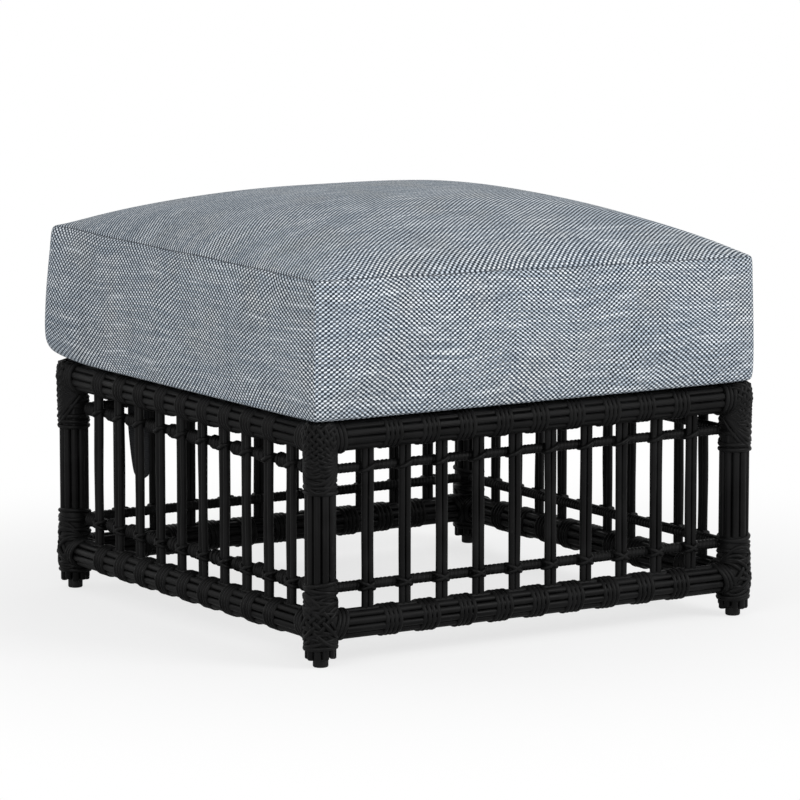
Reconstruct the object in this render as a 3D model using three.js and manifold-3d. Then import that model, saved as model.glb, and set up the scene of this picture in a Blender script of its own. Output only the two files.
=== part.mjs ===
// Outdoor ottoman footstool: a square aluminium frame dressed in round resin reeds, with open
// spindle sides, a deck of interlaced webbing and a loose box cushion.
// Units are millimetres. +Z is up, the origin is on the floor under the middle of the frame,
// the front faces -Y and the cushion's zip is on the +Y side.

import * as THREE from 'three';
import Module from 'manifold-3d';
import { mergeVertices } from 'three/addons/utils/BufferGeometryUtils.js';

const wasm = await Module();
wasm.setup();

// Frame
const postSpan = 564;            // between leg centres, both ways
const topRailHeight = 257;       // centre of the top rails above the floor
const bottomRailHeight = 45.3;   // centre of the bottom rails above the floor
const seatClearance = 0.3;       // left between pieces that touch
const cutOverrun = 4;            // how far a cutting tool passes the face it cuts

// Aluminium tube under the reeds
const tubeDiameter = 18;
const tubeWall = 1.5;
const tubeSides = 8;

// Reeds laid lengthwise round every tube
const reedCount = 10;
const reedDiameter = 7.7;
const fluteDepth = 2.4;          // from a reed's crest down to where it meets its neighbour
const reedEndBevel = 5;          // length over which the reeds round off above the glide
const reedEndInset = 3.6;

// Bands of strand wound round the rails between the spindles
const spindlesPerSide = 10;
const spindleMargin = 61.5;      // from a leg's centre to the nearest pair
const bandWidth = 24;
const strandThickness = 1.6;

// Strand bindings over the corner joints
const topBindingThickness = 2;   // of strand over the reeds
const topBindingDrop = 63;       // from the top rail's centre down to the last turn
const bottomBindingThickness = 3;
const bottomBindingRise = 50.7;  // from the bottom rail's centre up to the last turn
const bottomBindingDrop = 22.7;
const bindingArm = 7;            // along each rail past the leg's reeds
const bindingTurn = 6;           // height of one ridge of the winding
const bindingGroove = 0.9;       // depth between two ridges
const topBindingTurns = 3;
const bottomBindingTurns = 2;

// Spindles: pairs of rods side by side, tied in front of two stretchers
const rodDiameter = 7.4;
const rodNeck = 2.4;             // thickness where the two rods of a pair touch
const upperStretcherDrop = 38;   // below the top rail's centre
const upperStretcherDiameter = 10;
const lowerStretcherRise = 40.2; // above the bottom rail's centre
const lowerStretcherDiameter = 11;
const stretcherSides = 8;
const lashingBite = 1.2;         // how far the lashing draws a stretcher into the rods

// Glides plugged into the legs
const glideInset = 0.25;         // of its side inside the tube's outer face
const glideHeight = 10;
const glideBevel = 1.8;
const glideStemHeight = 20;
const roundSides = 8;

// Deck under the cushion
const bearerSize = 20;
const bearerWall = 1.5;
const bearerRise = 9;            // of the bearers' top above the top rails' centre
const bearerGap = 0.3;           // between a bearer and the end of the corner binding beside it
const strapWidth = 50;
const strapThickness = 2;
const strapsPerWay = 4;
const strapMargin = 117;         // from a leg's centre to the middle of the nearest strap
const strapGap = 0.4;            // between two straps where they cross
const strapTailDrop = 119;       // from the bearers' top down to the end of the one loose tail
const strapTailTaper = 60;       // length over which the tail narrows
const strapTailTip = 20;         // width of the tail's end

// Box cushion
const cushionOverhang = 14;      // of the seams outside the legs' centres
const cushionBoxing = 153.7;     // height of the sewn side strip
const cushionCornerRadius = 14;
const boxingBulge = 9;
const seamDraw = 2;              // how far the seams pull in between the corners
const crownRise = 52;
const crownEdge = 12;            // steep puff just inside the top seam
const coverThickness = 1.6;
const foamClearance = 0.3;

// Zip across the back of the boxing
const zipMargin = 66;            // from the cushion's corner to the end of the zip
const zipSlit = 9;
const zipTapeThickness = 1.6;
const zipTapeStandoff = 0.5;     // the tape's face outside the pinched boxing
const zipChainHeight = 4.4;
const zipChainProud = 1.4;
const zipEndMargin = 8;          // of tape beyond each end of the slider's travel
const sliderLength = 11;
const sliderHeight = 9.6;
const sliderThickness = 3.2;
const sliderEarThickness = 1.8;
const sliderEarRadius = 2.2;
const pullPinRadius = 0.8;
const pullPinClearance = 0.35;
const pullLength = 26;
const pullWidth = 8;
const pullThickness = 1.4;
const pullHoleWidth = 3.2;
const pullHoleLength = 9;

// Sizes that follow from the ones above
const half = postSpan / 2;
const tubeRadius = tubeDiameter / 2;
const bundleRadius = tubeRadius + seatClearance + reedDiameter;
const bandRadius = bundleRadius + strandThickness;
const spindlePitch = (postSpan - 2 * spindleMargin) / (spindlesPerSide - 1);
const topBindingRadius = bundleRadius + topBindingThickness;
const topBindingLow = topRailHeight - topBindingDrop;
const bottomBindingRadius = bundleRadius + bottomBindingThickness;
const bottomBindingLow = bottomRailHeight - bottomBindingDrop;
const bottomBindingHigh = bottomRailHeight + bottomBindingRise;
const bindingReach = bundleRadius + bindingArm;
const bearerTop = topRailHeight + bearerRise;
const strapPitch = (postSpan - 2 * strapMargin) / (strapsPerWay - 1);
const strapWeave = (strapThickness + strapGap) / 2;
const strapTailEnd = bearerTop - strapTailDrop;
const cushionHalfWidth = half + cushionOverhang;
const cushionBottom = topRailHeight + topBindingRadius + seatClearance;
const zipHeight = cushionBottom + cushionBoxing / 2;
const zipLength = 2 * (cushionHalfWidth - zipMargin);
const up = Math.PI / 2;
const quarter = Math.PI / 2;
const diagonal = Math.PI / 4;
const weldDistance = 1e-4;

const finishes = {
  aluminium: { color: 0x8f9396, roughness: 0.45, metalness: 0.9 },
  reed: { color: 0x1c1c1d, roughness: 0.5, metalness: 0 },
  binding: { color: 0x232324, roughness: 0.5, metalness: 0 },
  glide: { color: 0x141414, roughness: 0.6, metalness: 0 },
  webbing: { color: 0x26282b, roughness: 0.85, metalness: 0 },
  cover: { color: 0x8796a8, roughness: 0.95, metalness: 0 },
  foam: { color: 0xe9e4d2, roughness: 1, metalness: 0 },
  zip: { color: 0x4d5a6b, roughness: 0.7, metalness: 0 },
  slider: { color: 0x5a5f66, roughness: 0.4, metalness: 0.8 },
};

const piece = (name, geometry, finish) => {
  const mesh = new THREE.Mesh(geometry, new THREE.MeshStandardMaterial(finishes[finish]));
  mesh.name = name;
  return mesh;
};

// A closed geometry as a solid that can be joined and cut, and back again
const solidOf = geometry => {
  geometry.deleteAttribute('normal');
  geometry.deleteAttribute('uv');
  const merged = mergeVertices(geometry, weldDistance);
  return new wasm.Manifold(new wasm.Mesh({
    numProp: 3,
    vertProperties: merged.attributes.position.array,
    triVerts: merged.index.array,
  }));
};

const geometryOf = solid => {
  const mesh = solid.getMesh();
  const geometry = new THREE.BufferGeometry();
  geometry.setAttribute('position', new THREE.BufferAttribute(mesh.vertProperties, 3));
  geometry.setIndex(new THREE.BufferAttribute(mesh.triVerts, 1));
  return geometry;
};

const joined = solids => solids.reduce((whole, next) => whole.add(next));
const without = (solid, tools) => tools.reduce((left, tool) => left.subtract(tool), solid);

// An outline pushed along +Z from low to high
const prism = (shape, low, high) => {
  const geometry = new THREE.ExtrudeGeometry(shape, { depth: high - low, bevelEnabled: false });
  return geometry.translate(0, 0, low);
};

// Turn a prism so that it runs along +X or +Y, with its outline's top still upward
const alongX = geometry => geometry.rotateZ(quarter).rotateY(quarter);
const alongY = geometry => geometry.rotateX(-quarter).rotateY(Math.PI);

const outline = points => new THREE.Shape(points.map(([x, y]) => new THREE.Vector2(x, y)));

const polygon = (radius, sides, phase) => outline(Array.from({ length: sides }, (_, i) => {
  const angle = phase + i * 2 * Math.PI / sides;
  return [radius * Math.cos(angle), radius * Math.sin(angle)];
}));

// The section of the reeds: a crest for each reed and a valley between each two
const reedSection = phase => outline(Array.from({ length: 2 * reedCount }, (_, i) => {
  const angle = phase + i * Math.PI / reedCount;
  const radius = i % 2 ? bundleRadius - fluteDepth : bundleRadius;
  return [radius * Math.cos(angle), radius * Math.sin(angle)];
}));

// A profile of [radius, height] points turned about the Z axis
const turned = (profile, sides, phase) => {
  const points = profile.map(([radius, height]) => new THREE.Vector2(radius, height));
  return new THREE.LatheGeometry(points, sides, phase + quarter).rotateX(quarter);
};

const tubeSection = () => {
  const section = polygon(tubeRadius, tubeSides, 0);
  section.holes.push(polygon(tubeRadius - tubeWall, tubeSides, 0));
  return section;
};

const tubeBore = polygon(tubeRadius + seatClearance, tubeSides, 0);
const reedBore = polygon(bundleRadius + seatClearance, reedCount, diagonal);

const legTube = () => prism(tubeSection(), glideHeight + seatClearance, topRailHeight + tubeRadius);

const railTube = () => {
  const reach = half - tubeRadius - seatClearance;
  return alongX(prism(tubeSection(), -reach, reach));
};

// Reeds up a leg, from above the glide to under the top rails, notched round the lower tubes
const legReeds = () => {
  const low = glideHeight + seatClearance;
  const high = topRailHeight - bundleRadius - seatClearance;
  const bundle = solidOf(prism(reedSection(diagonal), low, high));
  const envelope = solidOf(turned([
    [0, low],
    [bundleRadius - reedEndInset, low],
    [bundleRadius, low + reedEndBevel],
    [bundleRadius, high],
    [0, high],
  ], reedCount, diagonal));
  const notches = [alongX, alongY].map(turn =>
    solidOf(turn(prism(tubeBore, 0, bundleRadius + cutOverrun)).translate(0, 0, bottomRailHeight)));
  const legBore = solidOf(prism(tubeBore, low - cutOverrun, high + cutOverrun));
  return geometryOf(without(bundle.intersect(envelope), [legBore, ...notches]));
};

// Reeds along a rail, with a domed band of strand wound over them midway between each two
// spindles. A band rises from the crests at its edges to its full height in the middle.
const railReeds = () => {
  const reach = half - bindingReach - seatClearance;
  const bandCount = spindlesPerSide - 1;
  const positions = [];
  const faces = [];
  const ring = (points, place) => {
    const start = positions.length / 3;
    for (const { x, y } of points) positions.push(x, y, place);
    return start;
  };
  const section = reedSection(up).getPoints();
  const bandSection = polygon(bandRadius, reedCount, up).getPoints();
  const crests = start => Array.from({ length: reedCount }, (_, i) => start + 2 * i);
  const corners = start => Array.from({ length: reedCount }, (_, i) => start + i);
  const all = start => Array.from({ length: 2 * reedCount }, (_, i) => start + i);
  const bridge = (low, high) => low.forEach((vertex, i) => {
    const next = (i + 1) % low.length;
    faces.push(vertex, low[next], high[i], low[next], high[next], high[i]);
  });
  const fillValleys = (start, facesUp) => crests(start).forEach((crest, i, ends) => {
    const next = ends[(i + 1) % reedCount];
    if (facesUp) faces.push(crest + 1, crest, next);
    else faces.push(crest, crest + 1, next);
  });
  const cap = (start, facesUp) => {
    const middle = ring([{ x: 0, y: 0 }], facesUp ? reach : -reach);
    all(start).forEach((vertex, i, rim) => {
      const next = rim[(i + 1) % rim.length];
      if (facesUp) faces.push(middle, vertex, next);
      else faces.push(middle, next, vertex);
    });
  };
  let open = ring(section, -reach);
  cap(open, false);
  for (let i = 0; i < bandCount; i += 1) {
    const middle = (i - (bandCount - 1) / 2) * spindlePitch;
    const low = ring(section, middle - bandWidth / 2);
    const dome = ring(bandSection, middle);
    const high = ring(section, middle + bandWidth / 2);
    bridge(all(open), all(low));
    fillValleys(low, false);
    bridge(crests(low), corners(dome));
    bridge(corners(dome), crests(high));
    fillValleys(high, true);
    open = high;
  }
  const end = ring(section, reach);
  bridge(all(open), all(end));
  cap(end, true);
  const geometry = new THREE.BufferGeometry();
  geometry.setAttribute('position', new THREE.Float32BufferAttribute(positions, 3));
  geometry.setIndex(faces);
  const tool = solidOf(prism(tubeBore, -reach - cutOverrun, reach + cutOverrun));
  return alongX(geometryOf(solidOf(geometry).subtract(tool)));
};

// Winding round a leg: ridges from the free end, then plain up to the far end
const windingProfile = (radius, freeEnd, turns, step, farEnd) => {
  const points = [[0, freeEnd], [radius - bindingGroove, freeEnd]];
  for (let turn = 0; turn < turns; turn += 1) {
    const start = freeEnd + turn * step;
    points.push([radius, start + step / 2], [radius - bindingGroove, start + step]);
  }
  points.push([radius, freeEnd + (turns + 1 / 2) * step], [radius, farEnd], [0, farEnd]);
  return step < 0 ? points.reverse() : points;
};

// Binding over one corner joint: a wound sleeve on the leg with a short arm along each rail.
// The leg's reeds run up its bore, and the rails' tubes pass through its arms to the leg.
const cornerBinding = (radius, profile, railHeight, legTools) => {
  const sleeve = solidOf(turned(profile, reedCount, diagonal));
  const along = (shape, reach) => [alongX, alongY].map(turn =>
    solidOf(turn(prism(shape, 0, reach)).translate(0, 0, railHeight)));
  const arms = along(polygon(radius, reedCount, up), bindingReach);
  const tubeBores = along(tubeBore, bindingReach + cutOverrun);
  return geometryOf(without(joined([sleeve, ...arms]), [...legTools, ...tubeBores]));
};

const topBinding = () => {
  const top = topRailHeight + topBindingRadius;
  const reedTop = topRailHeight - bundleRadius;
  const profile = windingProfile(
    topBindingRadius, topBindingLow, topBindingTurns, bindingTurn, top);
  const tubeTool = prism(tubeBore, reedTop, topRailHeight + tubeRadius + seatClearance);
  const reedTool = prism(reedBore, topBindingLow - cutOverrun, reedTop);
  const legTool = solidOf(reedTool).add(solidOf(tubeTool));
  return cornerBinding(topBindingRadius, profile, topRailHeight, [legTool]);
};

const bottomBinding = () => {
  const profile = windingProfile(
    bottomBindingRadius, bottomBindingHigh, bottomBindingTurns, -bindingTurn, bottomBindingLow);
  const low = bottomBindingLow - cutOverrun;
  const legTool = solidOf(prism(reedBore, low, bottomBindingHigh + cutOverrun));
  return cornerBinding(bottomBindingRadius, profile, bottomRailHeight, [legTool]);
};

const glide = () => {
  const boreApothem = (tubeRadius - tubeWall) * Math.cos(Math.PI / tubeSides);
  const stemRadius = boreApothem - seatClearance;
  const radius = tubeRadius - glideInset;
  return turned([
    [0, 0],
    [radius - glideBevel, 0],
    [radius, glideBevel],
    [radius, glideHeight],
    [stemRadius, glideHeight],
    [stemRadius, glideHeight + glideStemHeight],
    [0, glideHeight + glideStemHeight],
  ], roundSides, 0);
};

// Section of a pair of rods: two rounds that meet at a neck
const rodPairSection = () => {
  const radius = rodDiameter / 2;
  const right = [
    [0, -rodNeck / 2],
    [radius, -radius],
    [2 * radius, -rodNeck / 2],
    [2 * radius, rodNeck / 2],
    [radius, radius],
  ];
  return outline([...right, ...right.map(([x, y]) => [-x, -y])]);
};

// A stretcher between two legs, set back behind the spindles
const stretcher = (diameter, height, bindingRadius) => {
  const reach = half - bindingRadius - seatClearance;
  const setBack = rodDiameter / 2 + diameter / 2 - lashingBite;
  const bar = alongX(prism(polygon(diameter / 2, stretcherSides, up), -reach, reach));
  return solidOf(bar.translate(0, setBack, height));
};

// One open side: ten pairs of spindles lashed to two stretchers
const spindleGrille = () => {
  const low = bottomRailHeight + bundleRadius + seatClearance;
  const high = topRailHeight - bundleRadius - seatClearance;
  const spindles = Array.from({ length: spindlesPerSide }, (_, i) => {
    const place = (i - (spindlesPerSide - 1) / 2) * spindlePitch;
    return solidOf(prism(rodPairSection(), low, high).translate(place, 0, 0));
  });
  return geometryOf(joined([
    ...spindles,
    stretcher(upperStretcherDiameter, topRailHeight - upperStretcherDrop, topBindingRadius),
    stretcher(lowerStretcherDiameter, bottomRailHeight + lowerStretcherRise, bottomBindingRadius),
  ]));
};

// Square tube that carries the webbing, just inside a top rail
const bearerLine = half - bindingReach - bearerGap - bearerSize / 2;

const bearer = reach => {
  const edge = bearerSize / 2;
  const inner = edge - bearerWall;
  const section = outline([[-edge, -edge], [edge, -edge], [edge, edge], [-edge, edge]]);
  section.holes.push(outline([[-inner, -inner], [inner, -inner], [inner, inner], [-inner, inner]]));
  return alongX(prism(section, -reach, reach)).translate(0, 0, bearerTop - edge);
};

// A webbing strap along X, wrapped over the outer faces of both bearers and woven between them
const strapPath = (firstUp, tailEnd) => {
  const bearerOuter = bearerLine + bearerSize / 2;
  const outside = bearerOuter + seatClearance + strapThickness / 2;
  const inside = bearerLine - bearerSize / 2 - strapThickness;
  const above = bearerTop + seatClearance + strapThickness / 2;
  const wrapEnd = bearerTop - bearerSize;
  const points = [[-outside, tailEnd], [-outside, above], [-inside, above]];
  for (let i = 0; i < strapsPerWay; i += 1) {
    const middle = (i - (strapsPerWay - 1) / 2) * strapPitch;
    const lift = (i % 2 ? -1 : 1) * firstUp * strapWeave;
    points.push([middle - strapWidth / 2, above + lift], [middle + strapWidth / 2, above + lift]);
  }
  points.push([inside, above], [outside, above], [outside, wrapEnd]);
  return points;
};

// The band between a path's left and right offsets
const bandAlong = (path, thickness) => {
  const side = sign => path.map(([x, z], i) => {
    const before = path[Math.max(i - 1, 0)];
    const after = path[Math.min(i + 1, path.length - 1)];
    const into = new THREE.Vector2(x - before[0], z - before[1]).normalize();
    const out = new THREE.Vector2(after[0] - x, after[1] - z).normalize();
    const tangent = into.clone().add(out).normalize();
    const bisector = into.lengthSq() && out.lengthSq() ? tangent.dot(out) : 1;
    const offset = sign * thickness / 2 / bisector;
    return [x - tangent.y * offset, z + tangent.x * offset];
  });
  return outline([...side(-1), ...side(1).reverse()]);
};

const strap = (firstUp, tailEnd) => {
  const section = bandAlong(strapPath(firstUp, tailEnd), strapThickness);
  const geometry = prism(section, -strapWidth / 2, strapWidth / 2);
  return geometry.rotateX(up);
};

// The strap whose spare end hangs inside the left side, narrowed towards its tip
const tailedStrap = firstUp => {
  const outside = bearerLine + bearerSize / 2;
  const edge = strapWidth / 2;
  const tip = strapTailTip / 2;
  const start = strapTailEnd + strapTailTaper;
  const wedge = outline([
    [edge, start],
    [tip, strapTailEnd],
    [tip, strapTailEnd - cutOverrun],
    [edge + cutOverrun, strapTailEnd - cutOverrun],
    [edge + cutOverrun, start],
  ]);
  const tool = () => prism(wedge, -cutOverrun * 2, cutOverrun * 2).rotateX(up).rotateZ(quarter);
  const near = solidOf(tool().translate(-outside, 0, 0));
  const far = solidOf(tool().rotateZ(Math.PI).translate(-outside, 0, 0));
  return geometryOf(without(solidOf(strap(firstUp, strapTailEnd)), [near, far]));
};

// Cushion form. Every ring is a square with rounded corners; shares of the half width say how
// far along a side a point lies.
const sideShares = [-0.8, -0.3, 0.3, 0.8];
const cornerSteps = 2;
const cornerShare = 0.97;        // of the half width, past which a point is on that side's face

const squareRing = (halfWidth, radius, place) => {
  const points = [];
  for (let side = 0; side < 4; side += 1) {
    const turn = side * quarter;
    const put = (x, y) => {
      const across = x * Math.cos(turn) - y * Math.sin(turn);
      const along = x * Math.sin(turn) + y * Math.cos(turn);
      points.push(place(across, along, across / halfWidth, along / halfWidth));
    };
    for (const share of sideShares) put(halfWidth, share * (halfWidth - radius));
    for (let step = 0; step <= cornerSteps; step += 1) {
      const angle = quarter * step / cornerSteps;
      const middle = halfWidth - radius;
      put(middle + radius * Math.cos(angle), middle + radius * Math.sin(angle));
    }
  }
  return points;
};

// Even along the middle of a side and falling off to a share of that at its corners
const sidePower = 8;
const cornerBulgeShare = 0.8;
const crownPower = 2.4;
const crownEdgePower = 16;
const sideFullness = (share, atCorner) => 1 - (1 - atCorner) * Math.abs(share) ** sidePower;
const crownShape = (u, v, power) => (1 - Math.abs(u) ** power) * (1 - Math.abs(v) ** power);

// Rings of the boxing from its lower seam up: share of its height, share of the bulge there,
// the same on the back, which the zip pinches in, and whether the faces inside have the ring too
const boxingRows = [
  [0, 0.36, 0.36, true],
  [0.08, 0.74, 0.74, false],
  [0.24, 0.97, 1, true],
  [0.42, 1, 0.9, false],
  [0.46, 0.99, 0.1, true],
  [0.54, 0.95, 0.1, true],
  [0.58, 0.92, 0.9, false],
  [0.76, 0.74, 1, false],
  [0.92, 0.46, 0.5, false],
  [1, 0.12, 0.12, true],
];
const zipPinchShare = 0.1;
const outerCrownShares = [0.95, 0.82, 0.6, 0.32];
const innerCrownShares = [0.82];
const bottomShare = 0.96;        // of the boxing's lowest ring, the flat underside

// How far the fabric stands outside the seams where it has this share of the bulge, at a share
// of the half width along its side. The seams are drawn in between the corners.
const boxingSwing = (bulgeShare, along) =>
  boxingBulge * bulgeShare * sideFullness(along, cornerBulgeShare)
  - seamDraw * (1 - bulgeShare) * sideFullness(along, 0);

const boxingRing = (inset, [heightShare, bulgeShare, backShare]) => {
  const seam = cushionHalfWidth - inset;
  const height = cushionBottom + inset + heightShare * (cushionBoxing - 2 * inset);
  const radius = Math.max(cushionCornerRadius - inset, coverThickness);
  const out = (position, bulgeShare, along) =>
    position + Math.sign(position) * boxingSwing(bulgeShare, along);
  return squareRing(seam, radius, (x, y, u, v) => [
    Math.abs(u) > cornerShare ? out(x, bulgeShare, v) : x,
    Math.abs(v) > cornerShare ? out(y, v > 0 ? backShare : bulgeShare, u) : y,
    height,
  ]);
};

const cushionForm = (inset, rows, crownShares) => {
  const seamHeight = cushionBottom + cushionBoxing - inset;
  const crownLift = (u, v) => crownRise * crownShape(u, v, crownPower)
    + crownEdge * crownShape(u, v, crownEdgePower);
  const scaled = (ring, share, lift) => ring.map(([x, y, z]) => {
    const u = share * x / cushionHalfWidth;
    const v = share * y / cushionHalfWidth;
    return [x * share, y * share, z + lift(u, v)];
  });
  const boxing = rows.map(row => boxingRing(inset, row));
  const rings = [
    scaled(boxing[0], bottomShare, () => 0),
    ...boxing,
    ...crownShares.map(share => scaled(boxing.at(-1), share, crownLift)),
  ];
  return lofted(rings, cushionBottom + inset, seamHeight + crownRise + crownEdge);
};

// A closed body through rings of equal length, with a point on the axis at each end
const lofted = (rings, lowPoint, highPoint) => {
  const count = rings[0].length;
  const positions = rings.flat();
  const lowIndex = positions.length;
  const highIndex = lowIndex + 1;
  positions.push([0, 0, lowPoint], [0, 0, highPoint]);
  const faces = [];
  const last = (rings.length - 1) * count;
  for (let i = 0; i < count; i += 1) {
    const next = (i + 1) % count;
    faces.push([lowIndex, next, i], [highIndex, last + i, last + next]);
    for (let row = 0; row < last; row += count) {
      faces.push([row + i, row + next, row + count + i]);
      faces.push([row + next, row + count + next, row + count + i]);
    }
  }
  const geometry = new THREE.BufferGeometry();
  geometry.setAttribute('position', new THREE.Float32BufferAttribute(positions.flat(), 3));
  geometry.setIndex(faces.flat());
  return geometry;
};

const box = (sizeX, sizeY, sizeZ, x, y, z) =>
  new THREE.BoxGeometry(sizeX, sizeY, sizeZ).translate(x, y, z);

const innerForm = inset => {
  const rows = boxingRows.filter(([, , , isInside]) => isInside);
  return cushionForm(inset, rows, innerCrownShares);
};

// Sewn cover with its wadding: a skin with the zip's slit through its back
const cushionCover = () => {
  const outside = solidOf(cushionForm(0, boxingRows, outerCrownShares));
  const depth = cushionCornerRadius + boxingBulge;
  const slit = box(zipLength, 2 * depth, zipSlit, 0, cushionHalfWidth, zipHeight);
  return geometryOf(without(outside, [solidOf(innerForm(coverThickness)), solidOf(slit)]));
};

const cushionFoam = () => innerForm(coverThickness + foamClearance);

// Zip tape with its chain of teeth as one raised bead
const zipFace = cushionHalfWidth + boxingSwing(zipPinchShare, 0) + zipTapeStandoff;

const zipTape = () => {
  const length = zipLength - 2 * seatClearance;
  const height = zipSlit - 2 * seatClearance;
  const tapeMiddle = zipFace - zipTapeThickness / 2;
  const tape = solidOf(box(length, zipTapeThickness, height, 0, tapeMiddle, zipHeight));
  const chain = solidOf(box(length, 2 * zipChainProud, zipChainHeight, 0, zipFace, zipHeight));
  return geometryOf(tape.add(chain));
};

// Slider: a bridge over the chain, with two ears that hold the pin of its pull
const sliderRest = -zipLength / 2 + zipEndMargin + sliderLength / 2;
const sliderBase = zipFace + seatClearance;
const sliderFront = sliderBase + sliderThickness;
const pinLine = sliderFront + seatClearance + pullPinRadius;
const earInner = sliderHeight / 2 - sliderEarThickness;

const zipSlider = () => {
  const bodyMiddle = sliderBase + sliderThickness / 2;
  const body = box(sliderLength, sliderThickness, sliderHeight, 0, bodyMiddle, 0);
  const channelDepth = 2 * (zipChainProud + seatClearance);
  const channelHeight = zipChainHeight + 2 * seatClearance;
  const channel = box(sliderLength + cutOverrun, channelDepth, channelHeight, 0, zipFace, 0);
  const earShape = polygon(sliderEarRadius, roundSides, 0);
  const ears = [-sliderHeight / 2, earInner].map(low =>
    solidOf(prism(earShape, low, low + sliderEarThickness).translate(0, pinLine, 0)));
  const boreShape = polygon(pullPinRadius + pullPinClearance, roundSides, 0);
  const bore = prism(boreShape, -sliderHeight, sliderHeight).translate(0, pinLine, 0);
  const slider = without(joined([solidOf(body), ...ears]), [solidOf(channel), solidOf(bore)]);
  return geometryOf(slider);
};

// Pull: a flat tab on a pin, lying along the chain at rest
const pullOutline = () => {
  const neck = earInner - seatClearance;
  const shoulder = sliderEarRadius + seatClearance;
  const edge = pullWidth / 2;
  const tip = pullLength - edge;
  const shape = new THREE.Shape();
  shape.moveTo(0, -neck);
  shape.lineTo(shoulder, -neck);
  shape.lineTo(shoulder + edge - neck, -edge);
  shape.lineTo(tip, -edge);
  shape.absarc(tip, 0, edge, -quarter, quarter, false);
  shape.lineTo(shoulder + edge - neck, edge);
  shape.lineTo(shoulder, neck);
  shape.lineTo(0, neck);
  const slot = new THREE.Path();
  const slotRadius = pullHoleWidth / 2;
  slot.absarc(tip, 0, slotRadius, -quarter, quarter, false);
  slot.absarc(tip - pullHoleLength + pullHoleWidth, 0, slotRadius, quarter, 3 * quarter, false);
  shape.holes.push(slot);
  return shape;
};

const zipPull = () => {
  const tab = new THREE.ExtrudeGeometry(pullOutline(), {
    depth: pullThickness,
    bevelEnabled: false,
    curveSegments: roundSides / 2,
  }).translate(0, 0, -pullThickness / 2).rotateX(up);
  const pinReach = sliderHeight / 2 - seatClearance;
  const pin = prism(polygon(pullPinRadius, roundSides, 0), -pinReach, pinReach);
  return geometryOf(solidOf(tab).add(solidOf(pin)));
};

// Assembly. Corner pieces and side pieces are made once for the front left corner and the
// front side, and each group turns them about the middle of the footstool.
const cornerNames = ['front_left', 'front_right', 'back_right', 'back_left'];
const sideNames = ['front', 'right', 'back', 'left'];

const cornerGroup = (name, turn) => {
  const group = new THREE.Group();
  const placed = mesh => {
    mesh.position.set(-half, -half, 0);
    group.add(mesh);
  };
  placed(piece(`leg_tube_${name}`, legTube(), 'aluminium'));
  placed(piece(`leg_reeds_${name}`, legReeds(), 'reed'));
  placed(piece(`top_corner_binding_${name}`, topBinding(), 'binding'));
  placed(piece(`bottom_corner_binding_${name}`, bottomBinding(), 'binding'));
  placed(piece(`glide_${name}`, glide(), 'glide'));
  group.rotation.z = turn;
  return group;
};

const sideGroup = (name, turn, isLong) => {
  const group = new THREE.Group();
  const placed = (mesh, y, z) => {
    mesh.position.set(0, y, z);
    group.add(mesh);
  };
  placed(piece(`top_rail_tube_${name}`, railTube(), 'aluminium'), -half, topRailHeight);
  placed(piece(`top_rail_reeds_${name}`, railReeds(), 'reed'), -half, topRailHeight);
  placed(piece(`bottom_rail_tube_${name}`, railTube(), 'aluminium'), -half, bottomRailHeight);
  placed(piece(`bottom_rail_reeds_${name}`, railReeds(), 'reed'), -half, bottomRailHeight);
  placed(piece(`spindle_grille_${name}`, spindleGrille(), 'reed'), -half, 0);
  const railFace = half - bundleRadius * Math.cos(Math.PI / reedCount);
  const bearerFace = bearerLine - bearerSize / 2;
  const reach = (isLong ? railFace : bearerFace) - seatClearance;
  placed(piece(`deck_bearer_${name}`, bearer(reach), 'aluminium'), -bearerLine, 0);
  group.rotation.z = turn;
  return group;
};

// The straps along X number from front to back, and those along Y from right to left
const deck = () => {
  const group = new THREE.Group();
  for (const way of ['x', 'y']) {
    const straps = new THREE.Group();
    for (let i = 0; i < strapsPerWay; i += 1) {
      const firstUp = (way === 'x' ? i : i + strapsPerWay) % 2 ? -1 : 1;
      const hasTail = way === 'x' && i === strapsPerWay - 1;
      const geometry = hasTail ? tailedStrap(firstUp) : strap(firstUp, bearerTop - bearerSize);
      const mesh = piece(`deck_strap_${way}_${i + 1}`, geometry, 'webbing');
      mesh.position.y = (i - (strapsPerWay - 1) / 2) * strapPitch;
      straps.add(mesh);
    }
    if (way === 'y') straps.rotation.z = quarter;
    group.add(straps);
  }
  return group;
};

const cushion = () => {
  const group = new THREE.Group();
  group.add(piece('cushion_cover', cushionCover(), 'cover'));
  group.add(piece('cushion_foam', cushionFoam(), 'foam'));
  group.add(piece('zip_tape', zipTape(), 'zip'));
  const slider = piece('zip_slider', zipSlider(), 'slider');
  slider.position.set(sliderRest, 0, zipHeight);
  const pull = piece('zip_pull', zipPull(), 'slider');
  pull.position.set(sliderRest, pinLine, zipHeight);
  group.add(slider, pull);
  return group;
};

const footstool = new THREE.Group();
cornerNames.forEach((name, i) => footstool.add(cornerGroup(name, i * quarter)));
sideNames.forEach((name, i) => footstool.add(sideGroup(name, i * quarter, i % 2 === 0)));
footstool.add(deck(), cushion());

export default footstool;
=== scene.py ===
# %% [markdown]
# # Outdoor ottoman footstool
# A square aluminium frame is dressed in round resin reeds. Strand is wound over its corner joints
# and in bands along its rails, pairs of thin spindles fill its open sides, and a box cushion in a
# melange outdoor fabric lies on a deck of webbing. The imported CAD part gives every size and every
# joint. This script adds the surfaces that a person sees.

# %% Load the frame
import math
import random

import bpy
import numpy as np
from mathutils import Matrix, Vector, noise


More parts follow.
